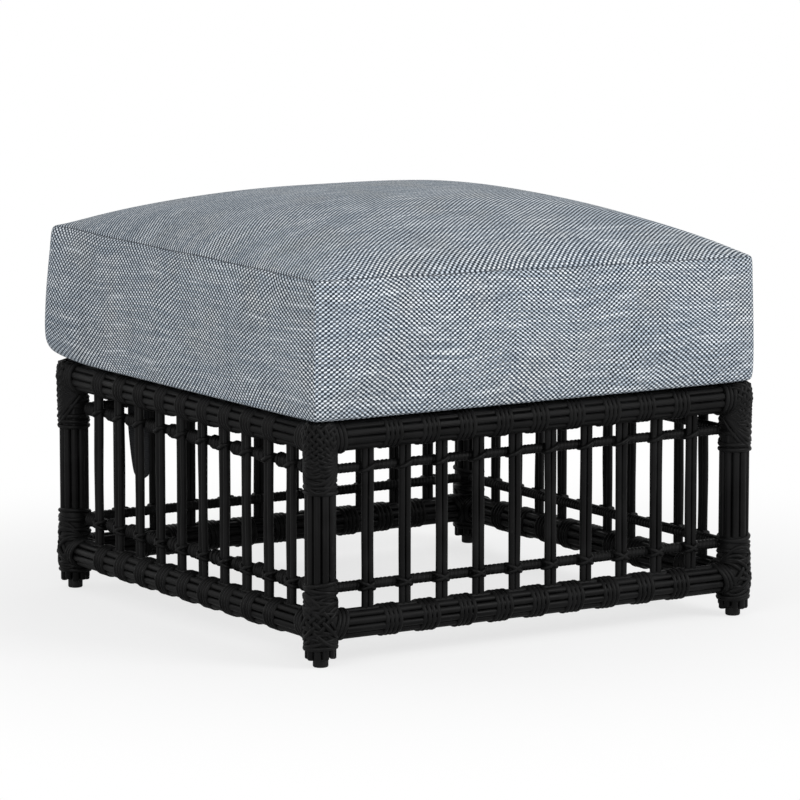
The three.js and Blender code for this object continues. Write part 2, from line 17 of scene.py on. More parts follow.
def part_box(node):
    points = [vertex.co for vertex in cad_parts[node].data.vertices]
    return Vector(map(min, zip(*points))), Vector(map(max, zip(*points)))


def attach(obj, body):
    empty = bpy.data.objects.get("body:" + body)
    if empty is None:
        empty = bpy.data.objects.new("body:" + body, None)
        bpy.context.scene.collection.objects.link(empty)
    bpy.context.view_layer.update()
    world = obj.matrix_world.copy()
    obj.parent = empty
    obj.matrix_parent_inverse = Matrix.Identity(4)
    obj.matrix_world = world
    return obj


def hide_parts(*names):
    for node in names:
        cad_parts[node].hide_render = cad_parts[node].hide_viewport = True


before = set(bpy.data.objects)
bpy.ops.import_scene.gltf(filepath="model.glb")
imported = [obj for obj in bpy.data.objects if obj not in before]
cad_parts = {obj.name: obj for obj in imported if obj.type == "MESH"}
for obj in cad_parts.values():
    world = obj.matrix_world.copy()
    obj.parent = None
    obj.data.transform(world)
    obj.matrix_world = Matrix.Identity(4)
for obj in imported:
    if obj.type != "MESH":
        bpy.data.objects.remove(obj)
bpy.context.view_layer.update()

MM = 0.001
QUARTER = math.pi / 2
CORNERS = ("front_left", "front_right", "back_right", "back_left")
SIDES = ("front", "right", "back", "left")
random.seed(7)

# %% [markdown]
# ## Places taken from the frame
# A scene that types its sizes twice soon disagrees with the part. So the centres of the legs and
# rails come from the boxes of their tubes, and only the finish of the resin has sizes of its own.

# %% Places from the frame
def middle(node):
    """The centre of a CAD node's box."""
    low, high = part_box(node)
    return (low + high) / 2


leg_line = -middle("leg_tube_front_left").x
top_rail = middle("top_rail_tube_front").z
bottom_rail = middle("bottom_rail_tube_front").z
tube_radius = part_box("leg_tube_front_left")[1].x + leg_line
rail_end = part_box("top_rail_reeds_front")[1].x
leg_foot, leg_head = (point.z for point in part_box("leg_reeds_front_left"))
spindle_foot, spindle_head = (point.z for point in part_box("spindle_grille_front"))
reed_radius = 3.85 * MM
reed_ring = tube_radius + 0.3 * MM + reed_radius
reed_count = 10
reed_fullness = 0.09
reed_spread = 1.05
strand_radius = 2.8 * MM
print("legs at", round(leg_line, 4), "rails at", round(top_rail, 4), round(bottom_rail, 4))

# %% [markdown]
# ## Camera
# A photographer shoots furniture from far away with a long lens, so that parallel rails stay nearly
# parallel. The camera stands about six metres off, a little above the cushion, and looks at a point
# just over the middle of the frame.

# %% Camera
def facing(direction):
    """The turn that points a camera or a lamp along a direction."""
    return Vector(direction).to_track_quat("-Z", "Y").to_euler()


def add_camera():
    """A long lens at the photograph's viewing angle."""
    bearing, height, distance = math.radians(-32.36), math.radians(9.02), 5.978
    back = Vector((
        math.sin(bearing) * math.cos(height),
        -math.cos(bearing) * math.cos(height),
        math.sin(height),
    ))
    seen, aim = Vector((0, 0, 0.1974)), Vector((0.0007, -0.0004, 0.2402))
    bpy.ops.object.camera_add(location=seen + back * distance)
    camera = bpy.context.object
    camera.data.lens = 228.2
    camera.data.sensor_width = 36
    camera.rotation_euler = facing(aim - camera.location)
    bpy.context.scene.camera = camera
    print("camera at", [round(value, 3) for value in camera.location])


add_camera()

# %% [markdown]
# ## Working helpers
# Most steps below are what a hand would do in Blender: add a primitive, select some of its edges,
# subdivide, bevel or spin them, and join the results. An operator acts on whatever is selected, so
# `pick` clears the selection first and then selects one object.

# %% Helpers for selecting and copying
def pick(*objects):
    """Selects these objects alone. The last one becomes active."""
    bpy.ops.object.select_all(action="DESELECT")
    for obj in objects:
        obj.select_set(True)
        bpy.context.view_layer.objects.active = obj
    return bpy.context.view_layer.objects.active


def joined(objects):
    """Several objects as one."""
    whole = pick(*objects)
    bpy.ops.object.join()
    return whole


def copy_of(obj, matrix):
    """A copy with its own mesh, placed by a matrix in the mesh itself."""
    twin = obj.copy()
    twin.data = obj.data.copy()
    twin.data.transform(matrix)
    bpy.context.scene.collection.objects.link(twin)
    return twin


def quarter_turn(count):
    return Matrix.Rotation(count * QUARTER, 4, "Z")


def moved(obj, *place):
    """Moves the mesh of an object."""
    obj.data.transform(Matrix.Translation(place))
    return obj


def bake_place(obj):
    """Moves an object's place, turn and scale into its mesh."""
    pick(obj)
    bpy.ops.object.transform_apply(location=True, rotation=True, scale=True)
    return obj


# %% [markdown]
# A piece starts as a cylinder or a block with its place in its mesh. Then edges are chosen by where
# their two ends are, to be rounded or cut into shorter ones, and a modifier is applied at once, so
# that the next step works on the real shape.

# %% Helpers for primitives, edges and modifiers
def cylinder(sides, radius, depth, location=(0, 0, 0), rotation=(0, 0, 0)):
    """A cylinder round the Z axis, then turned and put in its place."""
    bpy.ops.mesh.primitive_cylinder_add(
        vertices=sides, radius=radius, depth=depth, location=location, rotation=rotation)
    return bake_place(bpy.context.object)


def block(size, location):
    """A cuboid of a size, with its centre in a place."""
    bpy.ops.mesh.primitive_cube_add(size=1, location=location)
    bpy.context.object.scale = size
    return bake_place(bpy.context.object)


def select_edges(obj, wanted):
    """In edit mode, selects the edges whose two ends satisfy a test."""
    bpy.ops.object.mode_set(mode="OBJECT")
    mesh = obj.data
    for item in (*mesh.vertices, *mesh.edges, *mesh.polygons):
        item.select = False
    for edge in mesh.edges:
        low, high = (mesh.vertices[i].co for i in edge.vertices)
        edge.select = wanted(low, high)
    bpy.ops.object.mode_set(mode="EDIT")
    bpy.ops.mesh.select_mode(type="EDGE")


def is_level(low, high):
    return abs(low.z - high.z) < MM


def is_upright(low, high):
    return abs(low.z - high.z) > MM


def bevelled(obj, wanted, width, segments=3):
    """Rounds the edges whose two ends satisfy a test."""
    select_edges(obj, wanted)
    bpy.ops.mesh.bevel(offset=width, segments=segments, affect="EDGES")
    bpy.ops.object.mode_set(mode="OBJECT")
    return obj


def subdivided(obj, *cuts):
    """Cuts the upright edges of an object into shorter ones, more than once if asked."""
    select_edges(obj, is_upright)
    for number in cuts:
        bpy.ops.mesh.subdivide(number_cuts=number)
    bpy.ops.object.mode_set(mode="OBJECT")
    return obj


def modified(obj, kind, **settings):
    """Adds a modifier with its settings and applies it."""
    pick(obj)
    bpy.ops.object.modifier_add(type=kind)
    modifier = obj.modifiers[-1]
    for name, value in settings.items():
        setattr(modifier, name, value)
    bpy.ops.object.modifier_apply(modifier=modifier.name)
    return obj


def smoothed(obj, degrees=40):
    """Shades an object smooth where its faces meet at less than an angle."""
    pick(obj)
    bpy.ops.object.shade_smooth_by_angle(angle=math.radians(degrees))
    return obj


# %% [markdown]
# A finished piece gets its name, its one finish and the CAD body that it moves with. The stool is
# the same on all four sides, so most pieces are modelled for the front or for one corner and turned
# to the other three, each copy with its own mesh.

# %% Helpers for finishing pieces
def finished(obj, name, material, body="frame", stands_for=()):
    """Names a piece, gives it its finish and hangs it on its CAD body."""
    bake_place(obj)
    obj.name = obj.data.name = name
    obj.data.materials.clear()
    obj.data.materials.append(material)
    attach(obj, body)
    if stands_for:
        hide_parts(*stands_for)
    return obj


def on_every_side(obj, base, names, material, node=None):
    """Turns one modelled piece into four, a quarter turn apart, each for a CAD node of its own."""
    twins = [copy_of(obj, quarter_turn(i)) for i in range(1, len(names))]
    for name, piece in zip(names, [obj, *twins]):
        stands_for = [f"{node}_{name}"] if node else []
        finished(piece, f"{base}_{name}", material, stands_for=stands_for)
    print(base, "x", len(names), "with", len(obj.data.polygons), "faces each")


# %% [markdown]
# ## Shader arithmetic
# A pattern such as a weave is arithmetic on coordinates. Written as nodes by hand it takes dozens of
# lines, so one small class wraps a socket and lets Python's own signs add the Math nodes. Every
# other kind of node comes from its `node` method.

# %% A socket that can be calculated with
class Wire:
    """A socket in a material. Arithmetic on wires adds Math nodes to the material."""

    def __init__(self, tree, socket=None):
        self.tree = tree
        self.socket = socket

    def node(self, kind, inputs, output=0, **settings):
        """Adds a node. Its settings come first, then the values or wires of its sockets."""
        made = self.tree.nodes.new("ShaderNode" + kind)
        for name, value in settings.items():
            setattr(made, name, value)
        for name, value in inputs.items():
            if isinstance(value, Wire):
                self.tree.links.new(value.socket, made.inputs[name])
            else:
                made.inputs[name].default_value = value
        return Wire(self.tree, made.outputs[output])

    def math(self, operation, *others):
        return self.node("Math", dict(enumerate((self, *others))), operation=operation)

    def axis(self, letter):
        """One coordinate of a vector."""
        return self.node("SeparateXYZ", {"Vector": self}, output=letter)

    def __add__(self, other):
        return self.math("ADD", other)

    def __sub__(self, other):
        return self.math("SUBTRACT", other)

    def __rsub__(self, other):
        return self.node("Math", {0: other, 1: self}, operation="SUBTRACT")

    def __mul__(self, other):
        return self.math("MULTIPLY", other)

    def __truediv__(self, other):
        return self.math("DIVIDE", other)

    __radd__ = __add__
    __rmul__ = __mul__


def colour_mix(share, first, second):
    """Two colours mixed by a share from 0 to 1. Each is a wire or red, green and blue."""
    first, second = (c if isinstance(c, Wire) else (*c, 1) for c in (first, second))
    return share.node("Mix", {0: share, 6: first, 7: second}, output=2, data_type="RGBA")


def eased(value, low, high, to_low=0.0, to_high=1.0):
    """A value brought from one range to another, smoothly and without passing its ends."""
    inputs = {"Value": value, "From Min": low, "From Max": high, "To Min": to_low, "To Max": to_high}
    return value.node("MapRange", inputs, interpolation_type="SMOOTHSTEP")


def grain(place, scale, detail=2.0, stretch=(1, 1, 1), offset=(0, 0, 0)):
    """Soft noise at a scale in lumps per metre, stretched along some axes."""
    vector = place.node("Mapping", {"Vector": place, "Scale": stretch, "Location": offset})
    return place.node("TexNoise", {"Vector": vector, "Scale": scale, "Detail": detail})


def ribs(place, pitch):
    """A wave from -1 to 1 along a coordinate."""
    return (place * (2 * math.pi / pitch)).math("SINE")


def bumped(height, distance, strength=1.0):
    """A normal tilted by a height, in metres at its most."""
    return height.node("Bump", {"Height": height, "Distance": distance, "Strength": strength})


# %% Start and finish of a material
def new_material(name, cloth_map="", **uniform):
    """A material, and the place on it: the object's coordinates, or those of a cloth map."""
    material = bpy.data.materials.new(name)
    material.use_nodes = True
    shader = material.node_tree.nodes["Principled BSDF"]
    for socket, value in uniform.items():
        shader.inputs[socket.replace("_", " ")].default_value = value
    start = Wire(material.node_tree)
    if cloth_map:
        return material, start.node("UVMap", {}, uv_map=cloth_map)
    return material, start.node("TexCoord", {}, output="Object")


def wired(material, **sockets):
    """Feeds the shader's sockets that vary over the surface."""
    shader = material.node_tree.nodes["Principled BSDF"]
    for socket, value in sockets.items():
        material.node_tree.links.new(value.socket, shader.inputs[socket.replace("_", " ")])
    return material


# %% [markdown]
# ## Resin finish
# The reeds and strand are extruded polyethylene, coloured black all through. The die leaves fine
# lines along a reed, handling leaves paler scuffs, and sun and dust dull it unevenly. The lines run
# along each piece, so there is one resin for every direction, made by the same function.

# %% Resin for reeds and strand
def resin(name, along, deep=(0.0020, 0.0020, 0.0021)):
    """Black resin with die lines running along an axis, or in no direction for wound strand."""
    material, place = new_material(name, Specular_IOR_Level=0.10)
    lines = grain(place, 420, 3.0, stretch=[0.03 if axis == along else 1 for axis in "XYZ"])
    cloud = grain(place, 26)
    scuffs = grain(place, 150, 4.0, stretch=(1, 1, 0.6), offset=(0.3, 0.1, 0.2))
    scuffed = eased(scuffs, 0.66, 0.76)
    worn, pale = (0.0068, 0.0068, 0.0070), (0.024, 0.0236, 0.0232)
    body = colour_mix(eased(cloud * 0.7 + lines * 0.3, 0.38, 0.66), deep, worn)
    return wired(
        material,
        Base_Color=colour_mix(scuffed * 0.35, body, pale),
        Roughness=eased(cloud, 0.3, 0.7, 0.42, 0.58) + scuffed * 0.15,
        Normal=bumped(lines * 0.8 + scuffs * 0.2, 0.25 * MM, 0.5),
    )


reed_along_x = resin("resin reed along x", "X")
reed_along_y = resin("resin reed along y", "Y")
reed_upright = resin("resin reed upright", "Z")
strand_black = resin("wound resin strand", "", (0.0024, 0.0024, 0.0025))
print("resin finishes:", [m.name for m in bpy.data.materials if "resin" in m.name])

# %% [markdown]
# ## Reed bundles
# Ten reeds lie side by side round each tube. One reed is a cylinder with its ends rounded by a
# bevel. The winding has pressed it a little flat against its neighbours, so its section is fuller
# than a circle. The Spin tool repeats it round the tube. Reeds are cut by hand, so each one's end
# is moved a little after that.

# %% Model a bundle of reeds
def reed_bundle(length, uneven):
    """Ten reeds round the Z axis, centred on the origin, with ends that vary by a length."""
    bundle = bevelled(cylinder(16, reed_radius, length), is_level, 2.0 * MM)
    for vertex in bundle.data.vertices:
        x, y, z = vertex.co
        full = 1 + reed_fullness * (2 * x * y / (x * x + y * y + MM * MM)) ** 2
        vertex.co = (reed_ring + x * full, y * full * reed_spread, z)
    bpy.ops.object.mode_set(mode="EDIT")
    bpy.ops.mesh.select_all(action="SELECT")
    turn = 2 * math.pi * (reed_count - 1) / reed_count
    bpy.ops.mesh.spin(
        steps=reed_count - 1, dupli=True, angle=turn, center=(0, 0, 0), axis=(0, 0, 1))
    bpy.ops.mesh.select_all(action="SELECT")
    bpy.ops.mesh.normals_make_consistent(inside=False)
    bpy.ops.object.mode_set(mode="OBJECT")
    shifts = [random.uniform(-uneven, uneven) for _ in range(reed_count)]
    for vertex in bundle.data.vertices:
        angle = math.atan2(vertex.co.y, vertex.co.x) % (2 * math.pi)
        reed = round(angle * reed_count / (2 * math.pi)) % reed_count
        if vertex.co.z < 0:
            vertex.co.z += shifts[reed]
    return smoothed(bundle)


def place_rail(obj, height):
    """Turns a piece made round the Z axis so that it lies along the front rail."""
    obj.data.transform(Matrix.Rotation(QUARTER, 4, "Y"))
    return moved(obj, 0, -leg_line, height)


for height, level in ((top_rail, "top"), (bottom_rail, "bottom")):
    bundle = place_rail(reed_bundle(2 * rail_end, 0), height)
    reeds = f"{level}_rail_reeds"
    on_every_side(bundle, f"{reeds}_dressed", SIDES, reed_along_x, reeds)
    for name in ("right", "left"):
        bpy.data.objects[f"{reeds}_dressed_{name}"].data.materials[0] = reed_along_y

leg_fullness = 1.04
leg_bundle = reed_bundle(leg_head - leg_foot, 2.2 * MM)
leg_bundle.data.transform(Matrix.Diagonal((leg_fullness, leg_fullness, 1, 1)))
leg_bundle.data.transform(Matrix.Rotation(QUARTER / 2, 4, "Z"))
moved(leg_bundle, -leg_line, -leg_line, (leg_head + leg_foot) / 2)
on_every_side(leg_bundle, "leg_reeds_dressed", CORNERS, reed_upright, "leg_reeds")

# %% [markdown]
# ## Strand
# All the binding on this stool is one kind of strand, about five millimetres wide and pulled so
# tight that it sinks between its neighbours. A curve with a round bevel draws it, with its centre
# under the surface that it binds, so that only a low crown shows. Many loops go in one curve
# object, which is then converted to a mesh.

# %% Draw strand along paths
ring_points = 24


def strand(paths, radius=strand_radius, closed=True):
    """One mesh of round strand along every path, each a list of points."""
    curve = bpy.data.curves.new("strand", "CURVE")
    curve.dimensions = "3D"
    curve.bevel_depth = radius
    curve.bevel_resolution = 2
    curve.use_fill_caps = not closed
    for path in paths:
        spline = curve.splines.new("POLY")
        spline.points.add(len(path) - 1)
        spline.points.foreach_set("co", np.c_[path, np.ones(len(path))].ravel())
        spline.use_cyclic_u = closed
        spline.use_smooth = True
    obj = bpy.data.objects.new("strand", curve)
    bpy.context.scene.collection.objects.link(obj)
    pick(obj)
    bpy.ops.object.convert(target="MESH")
    return bpy.context.object


def ring(radius, centre, axis):
    """A closed circle of points about an axis."""
    turn = Vector((0, 0, 1)).rotation_difference(Vector(axis)).to_matrix()
    angles = (2 * math.pi * i / ring_points for i in range(ring_points))
    return [Vector(centre) + turn @ Vector((radius * math.cos(a), radius * math.sin(a), 0))
            for a in angles]


# %% [markdown]
# ## Bands along the rails
# Midway between each two pairs of spindles the rail is bound with four turns. Each turn is its own
# closed ring, leaning a little, as a helix does, and no two lean quite alike.

# %% Wind the bands
spindle_pitch = 49 * MM
spindle_count = 10
band_turns = 4
band_pitch = 5.9 * MM
band_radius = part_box("top_rail_reeds_front")[1].z - top_rail


def evenly(count, pitch):
    """Places in a row, at a pitch, on both sides of zero."""
    return [(i - (count - 1) / 2) * pitch for i in range(count)]


def band_paths():
    """Rings round the Z axis for the nine bands of one rail."""
    paths = []
    for start in evenly(spindle_count - 1, spindle_pitch):
        lean = random.uniform(0.03, 0.11)
        for place in evenly(band_turns, band_pitch):
            centre = start + place + random.uniform(-0.3, 0.3) * MM
            radius = band_radius - strand_radius + random.uniform(-0.25, 0.15) * MM
            tilt = (lean * 0.6, lean + random.uniform(-0.03, 0.03), 1)
            paths.append(ring(radius, (0, 0, centre), tilt))
    return paths


for height, level in ((top_rail, "top"), (bottom_rail, "bottom")):
    bands = place_rail(strand(band_paths()), height)
    on_every_side(bands, f"{level}_rail_bands", SIDES, strand_black)


# %% [markdown]
# ## Corner bindings
# At a corner the strand is pulled over the joint again and again from the crotch between two bars,
# so its turns fan out from there, cross those that come from the other side and make a basket
# pattern on the outside. Each turn lies nearly in a plane. So the joint is described as a distance
# to its bars, each turn is the line where a tilted plane cuts that form, and where two fans cross,
# one strand rises and the other dips.

# %% Describe a joint by its distance
stub = 5 * MM
post_rounding = 4.5 * MM
fillet = 3 * MM


def bar_distance(points, axis, radius):
    """Distance of points to a short round bar from the origin along an axis."""
    away = points.copy()
    away[:, axis] -= np.clip(points[:, axis], 0, stub)
    return np.linalg.norm(away, axis=1) - radius


def post_distance(points, low, high, radius):
    """Distance of points to an upright post with rounded ends."""
    across = np.hypot(points[:, 0], points[:, 1]) - (radius - post_rounding)
    above = np.abs(points[:, 2] - (high + low) / 2) - ((high - low) / 2 - post_rounding)
    outside = np.hypot(np.maximum(across, 0), np.maximum(above, 0))
    return outside + np.minimum(np.maximum(across, above), 0) - post_rounding


def merged(first, second):
    """The nearer of two distances, with the corner between them filled a little."""
    share = np.clip(0.5 + 0.5 * (second - first) / fillet, 0, 1)
    return second + (first - second) * share - fillet * share * (1 - share)


class Joint:
    """Two rails and a leg meeting at the origin, with the rails along +X and +Y."""

    def __init__(self, radius, low, high):
        self.radius = radius
        self.low = low
        self.high = high

    def distance(self, points):
        nearest = post_distance(points, self.low, self.high, self.radius)
        for axis in (0, 1):
            nearest = merged(nearest, bar_distance(points, axis, self.radius))
        return nearest

    def reach(self, centre, directions):
        """How far the surface is from a point inside, in each direction, found by halving."""
        near = np.zeros(len(directions))
        far = np.full(len(directions), 4 * self.radius)
        for _ in range(22):
            half = (near + far) / 2
            inside = self.distance(centre + half[:, None] * directions) < 0
            near, far = np.where(inside, half, near), np.where(inside, far, half)
        return (near + far) / 2

    def loop(self, centre, normal, count=36):
        """Points where a plane through a point inside cuts the surface, once round."""
        normal = np.array(normal, float) / np.linalg.norm(normal)
        across = np.cross(normal, (0.31, 0.22, 0.925))
        across /= np.linalg.norm(across)
        up = np.cross(normal, across)
        angles = np.arange(count) * 2 * math.pi / count
        directions = np.cos(angles)[:, None] * across + np.sin(angles)[:, None] * up
        return centre + self.reach(centre, directions)[:, None] * directions


# %% [markdown]
# A fan is a set of planes that share one line, the crotch that the turns are pulled into. The
# planes are chosen so that the strands lie side by side where they are furthest from it, on the
# outside of the corner.

# %% Fans of strand that weave through each other
weave_lift = 1.1 * MM
fan_pitch = 5.9 * MM


class Fan:
    """Turns that all pass one crotch of a joint, side by side on the joint's outside."""

    def __init__(self, joint, crotch, axis, toward, angles):
        self.joint = joint
        self.crotch = np.array(crotch, float)
        self.axis = np.array(axis, float) / np.linalg.norm(axis)
        out = np.array(toward, float)
        self.out = out - out @ self.axis * self.axis
        self.out /= np.linalg.norm(self.out)
        self.side = np.cross(self.axis, self.out)
        fine = np.linspace(*angles, 200)
        ends = np.array([self.outer_end(angle) for angle in fine])
        run = np.r_[0, np.cumsum(np.linalg.norm(np.diff(ends, axis=0), axis=1))]
        self.count = int(run[-1] / fan_pitch) + 1
        self.angles = np.sort(np.interp(np.linspace(0, run[-1], self.count), run, fine))

    def direction(self, angle):
        return math.cos(angle) * self.out + math.sin(angle) * self.side

    def outer_end(self, angle):
        """Where the outside of the joint is met, looking from the crotch."""
        direction = self.direction(angle)
        inside = self.crotch + 0.7 * self.joint.radius * direction
        return inside + self.joint.reach(inside, direction[None]) * direction

    def index(self, points):
        """Which turn of this fan passes a point, as a number with a fraction."""
        away = points - self.crotch
        angle = np.arctan2(away @ self.side, away @ self.out)
        return np.interp(angle, self.angles, np.arange(self.count))

    def spread(self, points):
        """0 in the crotch, where the turns crowd together, and 1 where they lie side by side."""
        away = points - self.crotch
        flat = away - (away @ self.axis)[:, None] * self.axis
        return np.clip(np.linalg.norm(flat, axis=1) / self.joint.radius - 0.5, 0, 1)

    def paths(self, other, sign):
        """Every turn, rising over and dipping under the turns of another fan."""
        made = []
        for turn, angle in enumerate(self.angles):
            centre = (self.crotch + self.outer_end(angle)) / 2
            points = self.joint.loop(centre, np.cross(self.axis, self.direction(angle)))
            wave = np.cos(math.pi * (other.index(points) + turn))
            height = sign * weave_lift * wave * self.spread(points) * other.spread(points)
            outward = points - centre
            outward /= np.linalg.norm(outward, axis=1)[:, None]
            made.append(points + height[:, None] * outward)
        return made


def mirrored(vector):
    """The same direction with the two rails exchanged."""
    return (vector[1], vector[0], vector[2])


def leg_turns(joint, heights, tilt):
    """Turns round the leg, each crossing the next on the outside of the corner."""
    paths = []
    for turn, height in enumerate(heights):
        slant = (tilt if turn % 2 else -tilt) * random.uniform(0.7, 1.2)
        lean = (slant, -slant + random.uniform(-0.02, 0.02), 1)
        paths.append(joint.loop(np.array((0, 0, height)), lean, 30))
    return paths


def rail_turns(radius, tilt):
    """Turns round both rails at the ends of the binding."""
    places = (11.8 * MM, 17.2 * MM, 22.4 * MM)
    along_x = [ring(radius, (place, 0, 0), (1, 0, tilt)) for place in places]
    along_y = [ring(radius, (0, place, 0), (0, 1, tilt)) for place in places]
    return along_x + along_y


# %% [markdown]
# Under the strand a plain core closes the joint: a sleeve on the leg and a short arm on each rail,
# cylinders that a boolean unites, with the ends of the sleeve rounded by a bevel.

# %% Core of a binding
arm_reach = 23.5 * MM
core_lift = 0.4 * MM
arm_lift = 0.2 * MM


def binding_core(radius, low, high):
    """A closed sleeve with two arms, under the strand."""
    sleeve = cylinder(32, radius, high - low, (0, 0, (high + low) / 2))
    bevelled(sleeve, is_level, 3 * MM)
    along_x = ((arm_reach / 2, 0, 0), (0, QUARTER, 0))
    along_y = ((0, arm_reach / 2, 0), (QUARTER, 0, 0))
    for place, turn in (along_x, along_y):
        arm = cylinder(32, radius, arm_reach, place, turn)
        modified(sleeve, "BOOLEAN", operation="UNION", object=arm)
        bpy.data.objects.remove(arm)
    return sleeve


def corner_binding(level, joint, height, low, high, fans, turns, arm_tilt):
    """Core and strand of one corner, copied to the other three."""
    core = binding_core(joint.radius + core_lift, low, high)
    first, second = fans
    weave = first.paths(second, 1) + second.paths(first, -1)
    winding = strand([*weave, *turns, *rail_turns(joint.radius + arm_lift, arm_tilt)])
    whole = smoothed(joined([winding, core]), 50)
    moved(whole, -leg_line, -leg_line, height)
    on_every_side(whole, f"{level}_corner_wrap", CORNERS, strand_black,
                  f"{level}_corner_binding")
    print("turns in a fan:", first.count)


# %% Wind the corner bindings
leg_below = -110 * MM
leg_above = 16.3 * MM
turn_pitch = 6.3 * MM
low_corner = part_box("top_corner_binding_front_left")[0]
sleeve_low = low_corner.z - top_rail
top_radius = -low_corner.x - leg_line + 1.0 * MM - strand_radius
top_joint = Joint(top_radius, leg_below, leg_above)
under_joint = Joint(top_radius - 0.5 * MM, leg_below, leg_above)
crotch = (top_radius, 0, -top_radius)
lean_in = 0.8
fan_x = Fan(top_joint, crotch, axis=(0, 1, lean_in), toward=(-1, 0, 0), angles=(-0.72, 1.5))
fan_y = Fan(
    top_joint, mirrored(crotch), axis=(1, 0, lean_in), toward=(0, -1, 0), angles=(0.72, -1.5))
lowest_turn = sleeve_low + 2.8 * MM
corner_binding(
    "top", top_joint, top_rail, sleeve_low + 2 * MM, 17.2 * MM, (fan_x, fan_y),
    leg_turns(under_joint, np.arange(-25 * MM, sleeve_low + 11 * MM, -turn_pitch), tilt=0.14)
    + leg_turns(top_joint, (lowest_turn + turn_pitch, lowest_turn), tilt=0.01),
    arm_tilt=0.10,
)

# %% [markdown]
# At the foot the leg goes on below the rails. There the turns run from the crotch above one rail
# down to the crotch under the other, so the two fans cross as an X on the outside of the leg.

# %% Wind the foot bindings
low_corner, high_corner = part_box("bottom_corner_binding_front_left")
foot_low, foot_high = low_corner.z - bottom_rail, high_corner.z - bottom_rail
foot_radius = -low_corner.x - leg_line + 0.4 * MM - strand_radius
foot_joint = Joint(foot_radius, -80 * MM, 110 * MM)
over_x = (foot_radius, 0, foot_radius)
under_y = (0, foot_radius, -foot_radius / 2)
slope = np.subtract(over_x, under_y)
centre_line = np.add(over_x, under_y) / 2
out = (-1, -1, 0)
cross_x = Fan(foot_joint, centre_line, slope, out, angles=(-0.50, 0.24))
cross_y = Fan(foot_joint, mirrored(centre_line), mirrored(slope), out, angles=(-0.24, 0.50))
lowest_turn = foot_low + strand_radius - 3 * MM
corner_binding(
    "bottom", foot_joint, bottom_rail, foot_low - 1.8 * MM, foot_high - 1 * MM, (cross_x, cross_y),
    leg_turns(foot_joint, np.arange(foot_high - strand_radius, 13 * MM, -fan_pitch), tilt=0.12)
    + leg_turns(foot_joint, lowest_turn + 5.5 * MM + np.arange(4) * 5 * MM, tilt=0.20)
    + leg_turns(foot_joint, [lowest_turn], tilt=0.03),
    arm_tilt=-0.45,
)

# %% [markdown]
# ## Spindles
# Each side has ten pairs of thin rods between the rails. A rod is a cylinder, subdivided along its
# length so that it can bow: cane and resin rods are never quite straight, and that small
# unevenness is most of what makes the panel look hand made.

# %% Model the spindles of one side
rod_radius = 3.7 * MM
rod_sink = 5 * MM


def spindle_rods():
    """Twenty slightly bowed rods for the front, in pairs."""
    low, high = spindle_foot - rod_sink, spindle_head + rod_sink
    rod = subdivided(cylinder(12, rod_radius, high - low, (0, 0, (high + low) / 2)), 9)
    rods = []
    for pair in evenly(spindle_count, spindle_pitch):
        for side in (-1, 1):
            place = pair + side * rod_radius * 1.03
            twin = copy_of(rod, Matrix.Identity(4))
            bow, twist = random.uniform(-0.7, 0.7) * MM, random.uniform(0, 6)
            lean = random.uniform(-0.8, 0.8) * MM
            for vertex in twin.data.vertices:
                share = (vertex.co.z - low) / (high - low)
                swing = bow * math.sin(math.pi * share * 2 + twist) * math.sin(math.pi * share)
                vertex.co.x += place + swing + lean * (share - 0.5)
                vertex.co.y += -leg_line + 0.4 * swing
            rods.append(twin)
    bpy.data.objects.remove(rod)
    return smoothed(joined(rods))


on_every_side(spindle_rods(), "spindles", SIDES, reed_upright, "spindle_grille")

# %% [markdown]
# ## Stretchers
# Behind the spindles run two bars that are bound with strand from end to end. A bar under a tight
# winding is a screw thread with round crests, so a cylinder is subdivided finely along its length
# and each point's distance from the axis follows the thread.

# %% Model a wound stretcher
stretcher_pitch = 5.3 * MM
stretcher_groove = 1.5 * MM
stretchers = (
    ("upper_stretcher", 219 * MM, 5.7 * MM, 262.7 * MM),
    ("lower_stretcher", 85.5 * MM, 6.1 * MM, 261.7 * MM),
)


def wound_bar(radius, length):
    """A bar round the Z axis whose surface is a helix of strand."""
    bar = subdivided(cylinder(12, radius, length), round(length / stretcher_pitch) - 1, 5)
    for vertex in bar.data.vertices:
        x, y, z = vertex.co
        wobble = noise.noise((z * 60, radius * 900, 0)) * 0.5
        phase = z / stretcher_pitch + wobble + math.atan2(y, x) / (2 * math.pi)
        crest = math.sqrt(max(0, 1 - (2 * (phase % 1) - 1) ** 2))
        share = 1 - stretcher_groove / radius * (1 - crest)
        vertex.co.x, vertex.co.y = x * share, y * share
    pick(bar)
    bpy.ops.object.shade_smooth()
    return bar


def set_back(radius):
    """How far a stretcher's middle lies behind the rods' own, pressed a little against them."""
    return rod_radius + radius - 1.5 * MM


for name, height, radius, reach in stretchers:
    bar = moved(place_rail(wound_bar(radius, 2 * reach), height), 0, set_back(radius), 0)
    on_every_side(bar, name, SIDES, strand_black)


# %% [markdown]
# ## Lashings
# Where a pair of spindles passes a stretcher, the winding strand comes forward, crosses the pair on
# a slant and goes back, and on the lower stretcher it crosses twice. A few points held in front of
# the rods give each crossing, and the curve tool makes the strand.

# %% Lash the spindles to the stretchers
lashing_radius = 2.4 * MM
lashing_points = 26


def lashing(height, place, slant):
    """The path of one strand across a pair of rods, rising to the right or to the left."""
    front, edge = rod_radius + 1.2 * MM, 2 * rod_radius
    rise = random.uniform(3.6, 4.6) * MM * slant
    half = (
        (rod_radius, front, 0.45), (edge - 0.3 * MM, 2.4 * MM, 0.85),
        (edge + 0.4 * MM, -1.2 * MM, 1), (edge + 0.4 * MM, -5.5 * MM, 1.1),
    )
    left = [(-x, out, -share) for x, out, share in reversed(half)]
    shape = [*left, (0, front, 0), *half]
    return [(place + x, -leg_line - out, height + rise * share) for x, out, share in shape]


